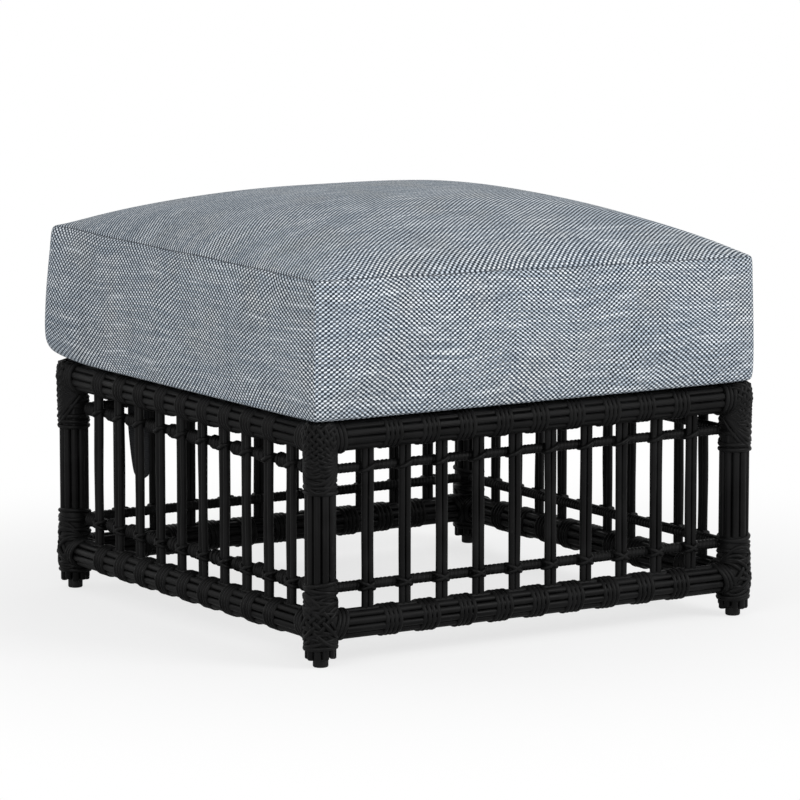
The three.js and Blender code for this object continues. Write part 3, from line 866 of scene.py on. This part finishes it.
def smooth_path(points):
    """More points on a smooth line through a few."""
    points = np.array(points)
    run = np.linspace(0, len(points) - 1, lashing_points)
    index = np.clip(run.astype(int), 0, len(points) - 2)
    share = (run - index)[:, None]
    padded = np.vstack([2 * points[0] - points[1], points, 2 * points[-1] - points[-2]])
    before, start, end, after = (padded[index + i] for i in range(4))
    return 0.5 * (
        2 * start + (end - before) * share
        + (2 * before - 5 * start + 4 * end - after) * share ** 2
        + (3 * start - before - 3 * end + after) * share ** 3
    )


upper, lower = (height for _, height, _, _ in stretchers)
places = evenly(spindle_count, spindle_pitch)
crossings = [(upper, place, 1) for place in places]
crossings += [(lower, place, slant) for place in places for slant in (-1, 1)]
lashed = [smooth_path(lashing(*crossing)) for crossing in crossings]
lashings = strand(lashed, lashing_radius, closed=False)
on_every_side(lashings, "lashings", SIDES, strand_black)

# %% [markdown]
# ## Second winding
# On the left side the stretchers are thicker between the spindles, because the strand goes round
# them once more there. Each stretch is a short coil that wavers a little, as hand work does.

# %% Wind the left stretchers a second time
coil_radius = 2 * MM
coil_turns = 5
coil_steps = 12
coil_reach = 12 * MM


def second_winding(height, radius, place):
    """The path of a short coil of strand round a stretcher, between two pairs of spindles."""
    behind = -leg_line + set_back(radius)
    path = []
    for i in range(coil_turns * coil_steps + 1):
        share, angle = i / (coil_turns * coil_steps), 2 * math.pi * i / coil_steps
        waver = noise.noise((place * 40, height * 9, share * 5)) * MM
        lift = radius + 0.8 * MM + waver
        run = place + (2 * share - 1) * coil_reach + 0.9 * MM * math.cos(angle + place * 50)
        path.append((run, behind + lift * math.cos(angle), height + lift * math.sin(angle)))
    return path


gaps = evenly(spindle_count + 1, spindle_pitch)
coils = strand(
    [second_winding(height, radius, gap) for _, height, radius, _ in stretchers for gap in gaps],
    coil_radius, closed=False)
coils.data.transform(quarter_turn(SIDES.index("left")))
finished(coils, "second_winding_left", strand_black)
print("second winding with", len(coils.data.polygons), "faces")

# %% [markdown]
# ## Glides
# A moulded plug closes the foot of each leg. It is a short cylinder with a bevelled lower edge and
# a shallow recess pressed into its underside, as such plugs have.

# %% Model the glides
plug_height = 10 * MM


def moulded_black():
    """Moulded plastic with a fine spark-eroded grain."""
    material, place = new_material("moulded glide plastic", Specular_IOR_Level=0.2)
    fine = grain(place, 900, 3.0)
    worn = eased(grain(place, 60, 3.0), 0.5, 0.75)
    return wired(
        material,
        Base_Color=colour_mix(worn, (0.004, 0.004, 0.004), (0.014, 0.014, 0.0145)),
        Roughness=eased(fine, 0.3, 0.7, 0.5, 0.68),
        Normal=bumped(fine, 0.1 * MM, 0.5),
    )


def glide():
    """One plug under the front left leg."""
    low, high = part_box("glide_front_left")
    centre = (-leg_line, -leg_line, plug_height / 2)
    plug = cylinder(32, (high.x - low.x) / 2, plug_height, centre)
    bevelled(plug, lambda start, end: max(start.z, end.z) < MM, 1.8 * MM)
    select_edges(plug, lambda start, end: False)
    bpy.ops.object.mode_set(mode="OBJECT")
    for face in plug.data.polygons:
        face.select = face.normal.z < -0.9 and len(face.vertices) == 32
    bpy.ops.object.mode_set(mode="EDIT")
    bpy.ops.mesh.select_mode(type="FACE")
    bpy.ops.mesh.inset(thickness=2.2 * MM, depth=0)
    bpy.ops.mesh.inset(thickness=0.4 * MM, depth=-0.8 * MM)
    bpy.ops.object.mode_set(mode="OBJECT")
    return smoothed(plug, 35)


on_every_side(glide(), "glide_plug", CORNERS, moulded_black(), "glide")

# %% [markdown]
# ## Deck
# Four square tubes inside the top rails carry eight webbing straps, woven over and under each
# other. A strap is a strip of grid that is laid along its path, given its thickness by Solidify
# and rounded at its edges by Bevel. One strap was left long, and its end hangs inside the left
# side.

# %% Webbing and tube finishes
def webbing_finish(along, across):
    """Dark woven webbing: ribs across the strap, a fine twill along it, and painted shade between
    ribs.
    """
    material, place = new_material(
        f"deck webbing along {along.lower()}", Roughness=0.82, Specular_IOR_Level=0.2)
    run = place.axis(along) + place.axis("Z")
    height = ribs(run, 2.6 * MM) * 0.35 + ribs(place.axis(across), 1.7 * MM) * 0.15 + 0.5
    faded = eased(grain(place, 18, 3.0), 0.35, 0.7)
    tone = colour_mix(faded, (0.012, 0.013, 0.015), (0.027, 0.029, 0.032))
    # Painted shade: the rib valleys get a darker colour than the crests, following the bump's
    # height.
    return wired(
        material,
        Base_Color=colour_mix(eased(height, 0.0, 1.0), (0.006, 0.0065, 0.0075), tone),
        Normal=bumped(height, 0.5 * MM, 0.8),
    )


def coated_tube():
    """Aluminium tube with a black powder coat, rubbed thin where the bars were handled."""
    material, place = new_material("powder coated aluminium tube", Specular_IOR_Level=0.2)
    peel = grain(place, 340)
    rubbed = eased(grain(place, 55, 4.0, offset=(0.7, 0.2, 0.1)), 0.68, 0.72)
    return wired(
        material,
        Base_Color=colour_mix(rubbed, (0.007, 0.007, 0.0075), (0.05, 0.05, 0.052)),
        Metallic=rubbed * 0.6,
        Roughness=eased(peel, 0.3, 0.7, 0.42, 0.55),
        Normal=bumped(peel, 0.08 * MM, 0.6),
    )


def coat(material, *words):
    """Gives a finish to the CAD solids whose names hold one of these words."""
    for node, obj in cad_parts.items():
        if any(word in node for word in words):
            for slot in obj.material_slots:
                slot.material = material


coat(coated_tube(), "tube", "bearer")
print("tubes coated")

# %% Lay the straps
strap_width = 50 * MM
strap_thickness = 2 * MM
strap_pitch = 110 * MM
strap_count = 4
strap_rounding = 2.5 * MM
strap_wave = 1.2 * MM
strap_step = 6 * MM
strap_seat = 0.3 * MM + strap_thickness / 2
far_taper = 60 * MM
near_taper = 10 * MM
bearer_outer = -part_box("deck_bearer_front")[0].y
bearer_inner = -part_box("deck_bearer_front")[1].y
strap_reach = bearer_outer + strap_seat
strap_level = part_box("deck_bearer_front")[1].z + strap_seat
strap_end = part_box("deck_strap_x_1")[0].z
tail_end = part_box("deck_strap_x_4")[0].z


def strap_line(first_up, tail):
    """The middle line of a strap along X as points of x and z, left to right."""
    bend, low_bend = strap_reach - strap_rounding, strap_level - strap_rounding
    points = [(-strap_reach, tail), (-strap_reach, low_bend)]
    points += [(-bend, strap_level), (-bearer_inner, strap_level)]
    for i, place in enumerate(evenly(strap_count, strap_pitch)):
        level = strap_level + (1 if i % 2 == 0 else -1) * first_up * strap_wave
        points += [(place - strap_width / 2, level), (place + strap_width / 2, level)]
    points += [(bearer_inner, strap_level), (bend, strap_level)]
    points += [(strap_reach, low_bend), (strap_reach, strap_end)]
    return np.array(points)


def along_line(points, step):
    """Points at even steps along a broken line."""
    run = np.r_[0, np.cumsum(np.linalg.norm(np.diff(points, axis=0), axis=1))]
    places = np.union1d(np.arange(0, run[-1], step), run)
    return np.c_[np.interp(places, run, points[:, 0]), np.interp(places, run, points[:, 1])]


def strap(first_up, tail=None):
    """A strap along X through the origin's line, with a narrowing tail if it has one."""
    line = along_line(strap_line(first_up, tail or strap_end), strap_step)
    bpy.ops.mesh.primitive_grid_add(x_subdivisions=len(line) - 1, y_subdivisions=8, size=1)
    obj = bpy.context.object
    for vertex in obj.data.vertices:
        x, z = line[round((vertex.co.x + 0.5) * (len(line) - 1))]
        y = 2 * vertex.co.y * (strap_width / 2 - strap_thickness * 0.1)
        if tail and x < 0:
            far_edge = min(1, 0.24 + 0.76 * math.sqrt((z - tail) / far_taper))
            near_edge = min(1, 0.4 + 0.6 * math.sqrt((z - tail) / near_taper))
            y *= far_edge if y > 0 else near_edge
        vertex.co = (x, y, z)
    modified(obj, "SOLIDIFY", thickness=strap_thickness * 0.96, offset=0)
    edges_only = {"limit_method": "ANGLE", "angle_limit": math.radians(60)}
    modified(obj, "BEVEL", width=0.6 * MM, segments=2, **edges_only)
    return smoothed(obj)


for along, across in ("XY", "YX"):
    webbing = webbing_finish(along, across)
    for i, place in enumerate(evenly(strap_count, strap_pitch)):
        first_up = -1 if (i if along == "X" else i + strap_count) % 2 else 1
        has_tail = along == "X" and i == strap_count - 1
        piece = moved(strap(first_up, tail_end if has_tail else None), 0, place, 0)
        if along == "Y":
            piece.data.transform(quarter_turn(1))
        number = f"{along.lower()}_{i + 1}"
        finished(piece, f"webbing_{number}", webbing,
                 stands_for=[f"deck_strap_{number}"])
print("straps laid:", 2 * strap_count)

# %% [markdown]
# ## Fabric
# The cover is an outdoor basket weave: near-white yarn running across and slate yarn running up,
# one over the other like the squares of a chessboard. The pattern reads the cover's own UV map, in
# metres, so that it follows the cloth. The yarns lean together, on the side strip first one way and
# then the other, which draws faint diagonals. Real yarn is uneven, so each row has its own
# brightness and a few thick stretches.
# The gaps between the yarns and the seams get painted shade, a darker colour where shade would fall.

# %% Woven fabric
weave_across = 3.3 * MM
weave_up = 2.55 * MM
lean_width = 95 * MM


def streaks(x, y, seed, detail=2.0):
    """Noise over two coordinates that each change at a rate of their own."""
    place = x.node("CombineXYZ", {"X": x, "Y": y, "Z": seed})
    return x.node("TexNoise", {"Vector": place, "Scale": 1.0, "Detail": detail})


def woven_fabric():
    """Near-white and slate yarn in a plain weave, with uneven rows and painted shade in the gaps and
    seams.
    """
    material, cloth = new_material(
        "woven outdoor fabric", "cloth", Specular_IOR_Level=0.08, Sheen_Weight=0.015)
    drift = grain(cloth, 55) - 0.5
    wave = grain(cloth, 7, 1.0, offset=(4.0, 2.0, 0.0)) - 0.5
    reach = cloth.axis("X")
    on_strip = eased(reach.math("ABSOLUTE"), 0.30, 0.31)
    across = reach / weave_across + drift * 0.7
    upward = cloth.axis("Y") / weave_up + drift * 0.5 + wave * 9.0
    column, row = across.math("FLOOR"), upward.math("FLOOR")
    pale_over = (column + row).math("PINGPONG", 1.0)
    cell = cloth.node("CombineXYZ", {"X": column, "Y": row, "Z": 1.5})
    chance = cloth.node("TexWhiteNoise", {"Vector": cell})

    side, rise = across - column - 0.5, upward - row - 0.5
    zone = reach / lean_width + grain(cloth, 7, 0.0, stretch=(1.0, 0.5, 1.0)) * 1.6
    lean = eased((zone * math.pi).math("SINE"), -0.12, 0.12, -0.22, 0.22)
    lean = lean * on_strip - (1 - on_strip) * 0.24
    side, rise = side + lean * rise, rise + lean * side
    arch_side, arch_rise = (side * math.pi).math("COSINE"), (rise * math.pi).math("COSINE")
    crown_pale = arch_rise * (arch_side * 0.5 + 0.5)
    crown_slate = arch_side * (arch_rise * 0.5 + 0.5)
    height = pale_over * crown_pale + (1 - pale_over) * crown_slate

    streak = streaks(across * 0.03, row * 0.71, 3.0)
    upright = streaks(column * 0.83, upward * 0.03, 9.0)
    slub = eased(streaks(across * 0.04, row * 0.93, 7.0, 1.0), 0.60, 0.74)
    cloud = grain(cloth, 9, 3.0)
    bright = eased(streak + (cloud - 0.5) * 0.4, 0.3, 0.7)
    warmth = eased(grain(cloth, 13, offset=(7.0, 1.0, 0.0)), 0.45, 0.7)
    pale = colour_mix(bright, (0.53, 0.61, 0.69), (0.86, 0.92, 0.975))
    pale = colour_mix(warmth * 0.3, pale, (0.78, 0.76, 0.69))
    pale = colour_mix(eased(chance, 0.6, 1.0) * 0.55, pale, (0.35, 0.40, 0.46))
    pale = colour_mix(slub * 0.8, pale, (0.90, 0.95, 1.0))
    slate = colour_mix(eased(upright, 0.3, 0.7), (0.013, 0.019, 0.026), (0.058, 0.072, 0.085))
    slate = colour_mix(eased(cloud, 0.35, 0.7) * 0.35, slate, (0.042, 0.066, 0.105))
    slate = colour_mix(eased(chance, 0.75, 1.0) * 0.5, slate, (0.20, 0.21, 0.22))
    # Painted shade: the valleys between the yarn crowns get a darker colour, lighter where a slub
    # fills them.
    valley_painted_shade = colour_mix(pale_over, (0.065, 0.08, 0.105), (0.16, 0.18, 0.21))
    valley_painted_shade = colour_mix(slub * 0.7, valley_painted_shade, (0.52, 0.57, 0.62))
    woven = colour_mix(eased(height, 0.14, 0.64), valley_painted_shade, colour_mix(pale_over, slate, pale))
    # Painted shade along the seams: the seam attribute darkens the cloth over the sewn grooves.
    sewn = cloth.node("Attribute", {}, output="Fac", attribute_name="seam")
    return wired(
        material,
        Base_Color=colour_mix(eased(sewn, 0.5, 1.0) * 0.75, woven, (0.03, 0.035, 0.045)),
        Roughness=0.92 - streak * 0.1,
        Normal=bumped(height, 0.5 * MM, 0.5),
    )


fabric = woven_fabric()
print("fabric nodes:", len(fabric.node_tree.nodes))

# %% [markdown]
# ## Cushion
# A box cushion is two square panels and a strip between them, sewn along their edges and filled
# with foam in wadding. It starts as a cube cut into a fine grid, so that the seams stay exact edge
# loops and the cloth keeps its UV map. Two more loops run close beside every seam, because a seam
# is a narrow groove. The grid is moulded to a form slightly smaller than the real one, then the
# cloth simulation blows it up against its seams.

# %% Sizes of the cushion
cover_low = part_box("cushion_cover")[0].z
seam_half = 296 * MM
seam_high = 430 * MM
strip_height = seam_high - cover_low
side_bulge = 9 * MM
seam_draw = 2 * MM
seam_gutter = 2.2 * MM
seam_depth = 1.7 * MM
corner_seam_depth = 0.4 * MM
# The attribute value, and so the painted shade, of the upright corner seams; the panel seams have 1.
corner_seam_painted_shade = 0.72
corner_rounding = 8 * MM
crown_height = 47 * MM
edge_puff = 14 * MM
sag_depth = 5.4 * MM
seam_wander = 1.3 * MM
mould_fullness = 0.95
cloth_cap = 4 * MM
strip_rows = np.array([
    (0, 0.42, 0.34), (0.05, 0.78, 0.64), (0.1, 0.94, 0.83), (0.2, 1, 1), (0.3, 0.98, 1),
    (0.42, 0.93, 0.9), (0.46, 0.91, 0.1), (0.54, 0.86, 0.1), (0.58, 0.83, 0.9), (0.76, 0.66, 1),
    (0.9, 0.44, 0.5), (0.96, 0.27, 0.27), (1, 0, 0),
])
corner_bulge = {(-1, -1): 9 * MM, (1, -1): 4 * MM, (1, 1): 7 * MM, (-1, 1): 14 * MM}
corner_rise = {(-1, -1): 4 * MM, (1, -1): -7.5 * MM, (1, 1): -1 * MM, (-1, 1): 7 * MM}
corner_lift = {(-1, -1): 1 * MM, (1, -1): 1 * MM, (1, 1): 3 * MM, (-1, 1): 9 * MM}

# %% [markdown]
# No sewn cushion is the same at all four corners: one is stuffed fuller, and the seam dips at
# another. Three small tables say so, and each point takes its share from the corners that it is
# nearest to.

# %% Shape of the strip and the panels
def from_corners(table, x, y):
    """A value between those of the four corners, at shares of the half width."""
    return sum(value * (1 + at[0] * x) * (1 + at[1] * y) / 4 for at, value in table.items())


def strip_out(level, along, corner, on_back):
    """How far the side strip stands outside its seams, at shares of its height and length."""
    bulge = np.interp(level, strip_rows[:, 0], strip_rows[:, 1])
    if on_back:
        pinched = np.interp(level, strip_rows[:, 0], strip_rows[:, 2])
        bulge += (pinched - bulge) * max(0, 1 - abs(along) ** 10)
    bulge += 0.36 * level ** 10 * abs(along) ** 8
    full = side_bulge + (corner - side_bulge) * abs(along) ** 6
    return full * bulge - seam_draw * (1 - bulge) * (1 - abs(along) ** 8)


def crown(u, v):
    """Height of the top panel over its seam, a little fuller towards the back left."""
    broad = (1 - abs(u) ** (3.8 if u < 0 else 2.75)) * (1 - abs(v) ** (2.2 if v > 0 else 2.5))
    edge = (1 - abs(u) ** 16) * (1 - abs(v) ** 16)
    return crown_height * broad * (1 + 0.055 * (v - u)) + edge_puff * edge


def sag(u, v):
    """Depth to which the underside sinks between the rails on to the webbing."""
    def between(share):
        t = min(1, max(0, (0.9 - abs(share)) / 0.14))
        return t * t * (3 - 2 * t)
    return sag_depth * between(u) * between(v)


def rounded(x, y, radius):
    """A point of a square moved on to one with rounded corners, in shares of the half width."""
    over_x, over_y = abs(x) - (1 - radius), abs(y) - (1 - radius)
    if over_x <= 0 or over_y <= 0:
        return x, y
    scale = max(over_x, over_y) / math.hypot(over_x, over_y)
    return (math.copysign(1 - radius + over_x * scale, x),
            math.copysign(1 - radius + over_y * scale, y))


def puffed(share_x, share_y, level, fullness):
    """Where a point of the cube's grid lies on the cushion, with its puff scaled by a fullness."""
    x, y = rounded(share_x, share_y, corner_rounding / seam_half)
    edge = max(abs(share_x), abs(share_y))
    wander = seam_wander * noise.noise((share_x * 3.1, share_y * 3.1, 4)) * edge ** 8
    rise = from_corners(corner_rise, share_x, share_y) * edge ** 4 + wander
    lift = from_corners(corner_lift, share_x, share_y) * abs(share_x * share_y) ** 7
    z = cover_low + level * (strip_height + rise) + (1 - level) ** 3 * lift
    corner = from_corners(corner_bulge, math.copysign(1, share_x), math.copysign(1, share_y))
    push_x = fullness * strip_out(level, share_y, corner, False) * abs(share_x) ** 3
    push_y = fullness * strip_out(level, share_x, corner, share_y > 0) * abs(share_y) ** 3
    if level > 0.9999:
        z += fullness * crown(share_x, share_y)
    if level < 0.0001:
        z -= sag(share_x, share_y)
    return (x * seam_half + math.copysign(push_x, x), y * seam_half + math.copysign(push_y, y), z)


# %% Cut the cube and lay its cloth map
def cushion_grid():
    """A cube cut into a grid, in shares: x and y from -1 to 1 and z from 0 to 1."""
    bpy.ops.mesh.primitive_cube_add(size=2, location=(0, 0, 0))
    cube = bpy.context.object
    for vertex in cube.data.vertices:
        vertex.co.z = (vertex.co.z + 1) / 2
    select_edges(cube, is_level)
    bpy.ops.mesh.subdivide(number_cuts=69)
    levels = [
        *np.linspace(0, 1, 19)[1:-1],
        *(0.5 + side * share for side in (-1, 1) for share in (0.02, 0.035, 0.08)),
        0.014, 1 - seam_gutter / strip_height,
    ]
    beside = 1 - seam_gutter / seam_half
    cuts = [((0, 0, level), (0, 0, 1)) for level in levels]
    cuts += [((side * beside, 0, 0), (1, 0, 0)) for side in (-1, 1)]
    cuts += [((0, side * beside, 0), (0, 1, 0)) for side in (-1, 1)]
    for point, normal in cuts:
        bpy.ops.mesh.select_all(action="SELECT")
        bpy.ops.mesh.bisect(plane_co=point, plane_no=normal)
    bpy.ops.object.mode_set(mode="OBJECT")
    return cube


def lay_cloth_map(obj):
    """A UV map in metres: each panel flat, and the strip unrolled side by side."""
    layer = obj.data.uv_layers.new(name="cloth")
    for face in obj.data.polygons:
        for loop in face.loop_indices:
            x, y, z = obj.data.vertices[obj.data.loops[loop].vertex_index].co
            if abs(face.normal.z) > 0.5:
                place = (x * seam_half, y * seam_half + 2 * face.normal.z)
            elif abs(face.normal.x) > 0.5:
                place = (face.normal.x * (y + 3) * seam_half, z * strip_height)
            else:
                place = (-face.normal.y * (x + 7) * seam_half, z * strip_height)
            layer.data[loop].uv = place


def mark_seams(obj):
    """Writes the painted shade of each seam into an attribute, and returns how deep it sits, by
    point.
    """
    painted_seam_shade = obj.data.attributes.new("seam", "FLOAT", "POINT")
    sewn = {}
    for vertex in obj.data.vertices:
        x, y, z = (abs(share) for share in vertex.co)
        on_panel = z > 0.9999 or z < 0.0001
        if (x > 0.9999) + (y > 0.9999) + on_panel >= 2:
            painted_seam_shade.data[vertex.index].value = 1 if on_panel else corner_seam_painted_shade
            sewn[vertex.index] = seam_depth if on_panel else corner_seam_depth
    return sewn


# %% [markdown]
# The seams and the underside are pinned. The rest is cloth under a pressure of four. It may move
# only a few millimetres, which leaves the soft unevenness of real stuffing without losing the form.
# Then the thread pulls the seams in, and one subdivision rounds everything.

# %% Blow up the cushion against its seams
def inflate(obj, sewn, cap):
    """Cloth under pressure, pinned at the seams and underneath, and held to a cap."""
    start = np.array([vertex.co for vertex in obj.data.vertices])
    pins = obj.vertex_groups.new(name="pinned")
    under = [v.index for v in obj.data.vertices if v.co.z < cover_low + 0.1 * MM]
    pins.add(list({*sewn, *under}), 1.0, "REPLACE")
    pick(obj)
    bpy.ops.object.modifier_add(type="CLOTH")
    cloth = obj.modifiers[-1]
    settings = {
        "vertex_group_mass": pins.name, "use_pressure": True, "uniform_pressure_force": 4,
        "tension_stiffness": 12, "shear_stiffness": 6, "bending_stiffness": 0.6, "quality": 5,
    }
    for name, value in settings.items():
        setattr(cloth.settings, name, value)
    cloth.settings.effector_weights.gravity = 0
    for step in range(1, 21):
        bpy.context.scene.frame_set(step)
    bpy.ops.object.modifier_apply(modifier=cloth.name)
    bpy.context.scene.frame_set(1)
    gone = np.array([vertex.co for vertex in obj.data.vertices]) - start
    length = np.linalg.norm(gone, axis=1)
    held = start + gone * np.minimum(1, cap / np.maximum(length, 1e-9))[:, None]
    obj.data.vertices.foreach_set("co", held.ravel())
    obj.data.update()
    print("cloth moved", round(length.max() / MM, 1), "mm at most, capped at", cap / MM)


def pull_seams(obj, sewn):
    """Draws each seam's points towards the inside of the cushion."""
    normals = [vertex.normal.copy() for vertex in obj.data.vertices]
    for index, depth in sewn.items():
        obj.data.vertices[index].co -= normals[index] * depth


cover = cushion_grid()
lay_cloth_map(cover)
seams = mark_seams(cover)
for vertex in cover.data.vertices:
    vertex.co = puffed(*vertex.co, mould_fullness)
inflate(cover, seams, cloth_cap)
pull_seams(cover, seams)
modified(cover, "SUBSURF", levels=1, render_levels=1)
bpy.ops.object.shade_smooth()
finished(cover, "cushion_cover_sewn", fabric, "cushion",
         ["cushion_cover", "cushion_foam"])
print("cushion top at", round(max(v.co.z for v in cover.data.vertices), 4),
      "with", len(cover.data.polygons), "faces")

# %% [markdown]
# ## Zip
# The cover opens at the back. Its zip is a woven tape with two rows of moulded teeth that stand
# between each other. One tooth is a block with bevelled edges, repeated along the tape by an Array
# modifier. The second row is the same, half a pitch further on and a little higher.

# %% Model the zip
zip_pitch = 2.6 * MM
tape_thickness = 1.6 * MM
tape_recess = 1.4 * MM
tooth_size = (1.15 * MM, 1.9 * MM, 2.6 * MM)
tooth_lift = 0.35 * MM
row_offset = 0.75 * MM


def zip_cloth():
    """Fine dark twill tape, with painted shade in the grooves of the twill."""
    material, place = new_material("zip tape twill", Roughness=0.85, Specular_IOR_Level=0.15)
    twill = ribs(place.axis("X") + place.axis("Z"), 0.9 * MM) * 0.5 + 0.5
    # Painted shade: the twill's grooves get a darker colour than its ribs, following the bump's
    # height.
    return wired(
        material,
        Base_Color=colour_mix(twill, (0.012, 0.015, 0.02), (0.035, 0.042, 0.052)),
        Normal=bumped(twill, 0.15 * MM, 0.6),
    )


def slider_metal():
    """Die-cast slider metal, dulled by handling."""
    material, place = new_material("zip slider metal", Metallic=1.0)
    wear = grain(place, 700, 4.0)
    return wired(
        material,
        Base_Color=colour_mix(eased(wear, 0.35, 0.65), (0.20, 0.20, 0.21), (0.42, 0.42, 0.43)),
        Roughness=eased(wear, 0.3, 0.7, 0.28, 0.45),
        Normal=bumped(wear, 0.05 * MM, 0.4),
    )


def zip_piece():
    """Tape and teeth in one piece, along the back of the cushion."""
    low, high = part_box("zip_tape")
    length, width = high.x - low.x, high.z - low.z
    face, centre = high.y - tape_recess, (low.z + high.z) / 2
    tape = block((length, tape_thickness, width), (0, face - tape_thickness / 2, centre))
    rows = []
    for side in (-1, 1):
        start = low.x + (1.2 + side * 0.25) * zip_pitch
        tooth = block(tooth_size, (start, face + tooth_lift, centre + side * row_offset))
        bevelled(tooth, lambda start, end: True, 0.3 * MM, 1)
        row = {"count": int(length / zip_pitch) - 2, "constant_offset_displace": (zip_pitch, 0, 0)}
        rows.append(modified(
            tooth, "ARRAY", use_relative_offset=False, use_constant_offset=True, **row))
    return smoothed(joined([*rows, tape]))


finished(zip_piece(), "zip_tape_and_teeth", zip_cloth(), "cushion", ["zip_tape"])
coat(slider_metal(), "zip_slider", "zip_pull")
print("zip made")

# %% [markdown]
# ## Studio
# The stool stands on a plain pale floor in an evenly lit room. The background is white because the
# world is white to the camera, not because more light falls on the stool, and the floor fades
# into it away from the legs.

# %% World, lamps and floor
ambient = 0.58
lamp_aim = Vector((0, 0, 0.25))
floor_radius = 4.5


def plain_world():
    """White for the camera and in reflections, and softer as a source of light."""
    world = bpy.data.worlds.new("studio")
    bpy.context.scene.world = world
    world.use_nodes = True
    background = world.node_tree.nodes["Background"]
    seen, glossy, through = (
        Wire(world.node_tree).node("LightPath", {}, output=f"Is {kind} Ray")
        for kind in ("Camera", "Glossy", "Transmission"))
    direct = seen.math("MAXIMUM", glossy).math("MAXIMUM", through)
    level = direct * (1 - ambient) + ambient
    world.node_tree.links.new(level.socket, background.inputs["Strength"])
    background.inputs["Color"].default_value = (1, 1, 1, 1)


def lamp(name, location, size, power):
    """A round lamp that shines on the middle of the stool."""
    bpy.ops.object.light_add(type="AREA", location=location)
    light = bpy.context.object
    light.name = name
    light.data.shape = "DISK"
    light.data.size = size
    light.data.energy = power
    light.rotation_euler = facing(lamp_aim - Vector(location))


def studio_floor():
    """A pale floor that fades into the white background away from the stool."""
    bpy.ops.mesh.primitive_circle_add(
        vertices=96, radius=floor_radius, fill_type="NGON", location=(0, 0, 0))
    floor = bpy.context.object
    floor.name = "studio_floor"
    pale = (0.86, 0.86, 0.86, 1)
    material, place = new_material(
        "studio floor", Base_Color=pale, Roughness=0.9, Specular_IOR_Level=0.0)
    tree = material.node_tree
    far = place.node("VectorMath", {0: place}, output="Value", operation="LENGTH")
    white = place.node("Emission", {"Color": (1, 1, 1, 1), "Strength": 1.0})
    seen = place.node("LightPath", {}, output="Is Camera Ray")
    share = eased(far, 0.40, 1.0, 0.74, 1.0) * seen
    lit = Wire(tree, tree.nodes["Principled BSDF"].outputs[0])
    mixed = place.node("MixShader", {0: share, 1: lit, 2: white})
    tree.links.new(mixed.socket, tree.nodes["Material Output"].inputs["Surface"])
    floor.data.materials.append(material)


plain_world()
lamp("key", (2.2, -3.4, 2.6), 2.2, 100)
lamp("fill", (-3.2, -2.2, 1.8), 2.4, 44)
studio_floor()
bpy.context.scene.view_settings.view_transform = "Standard"
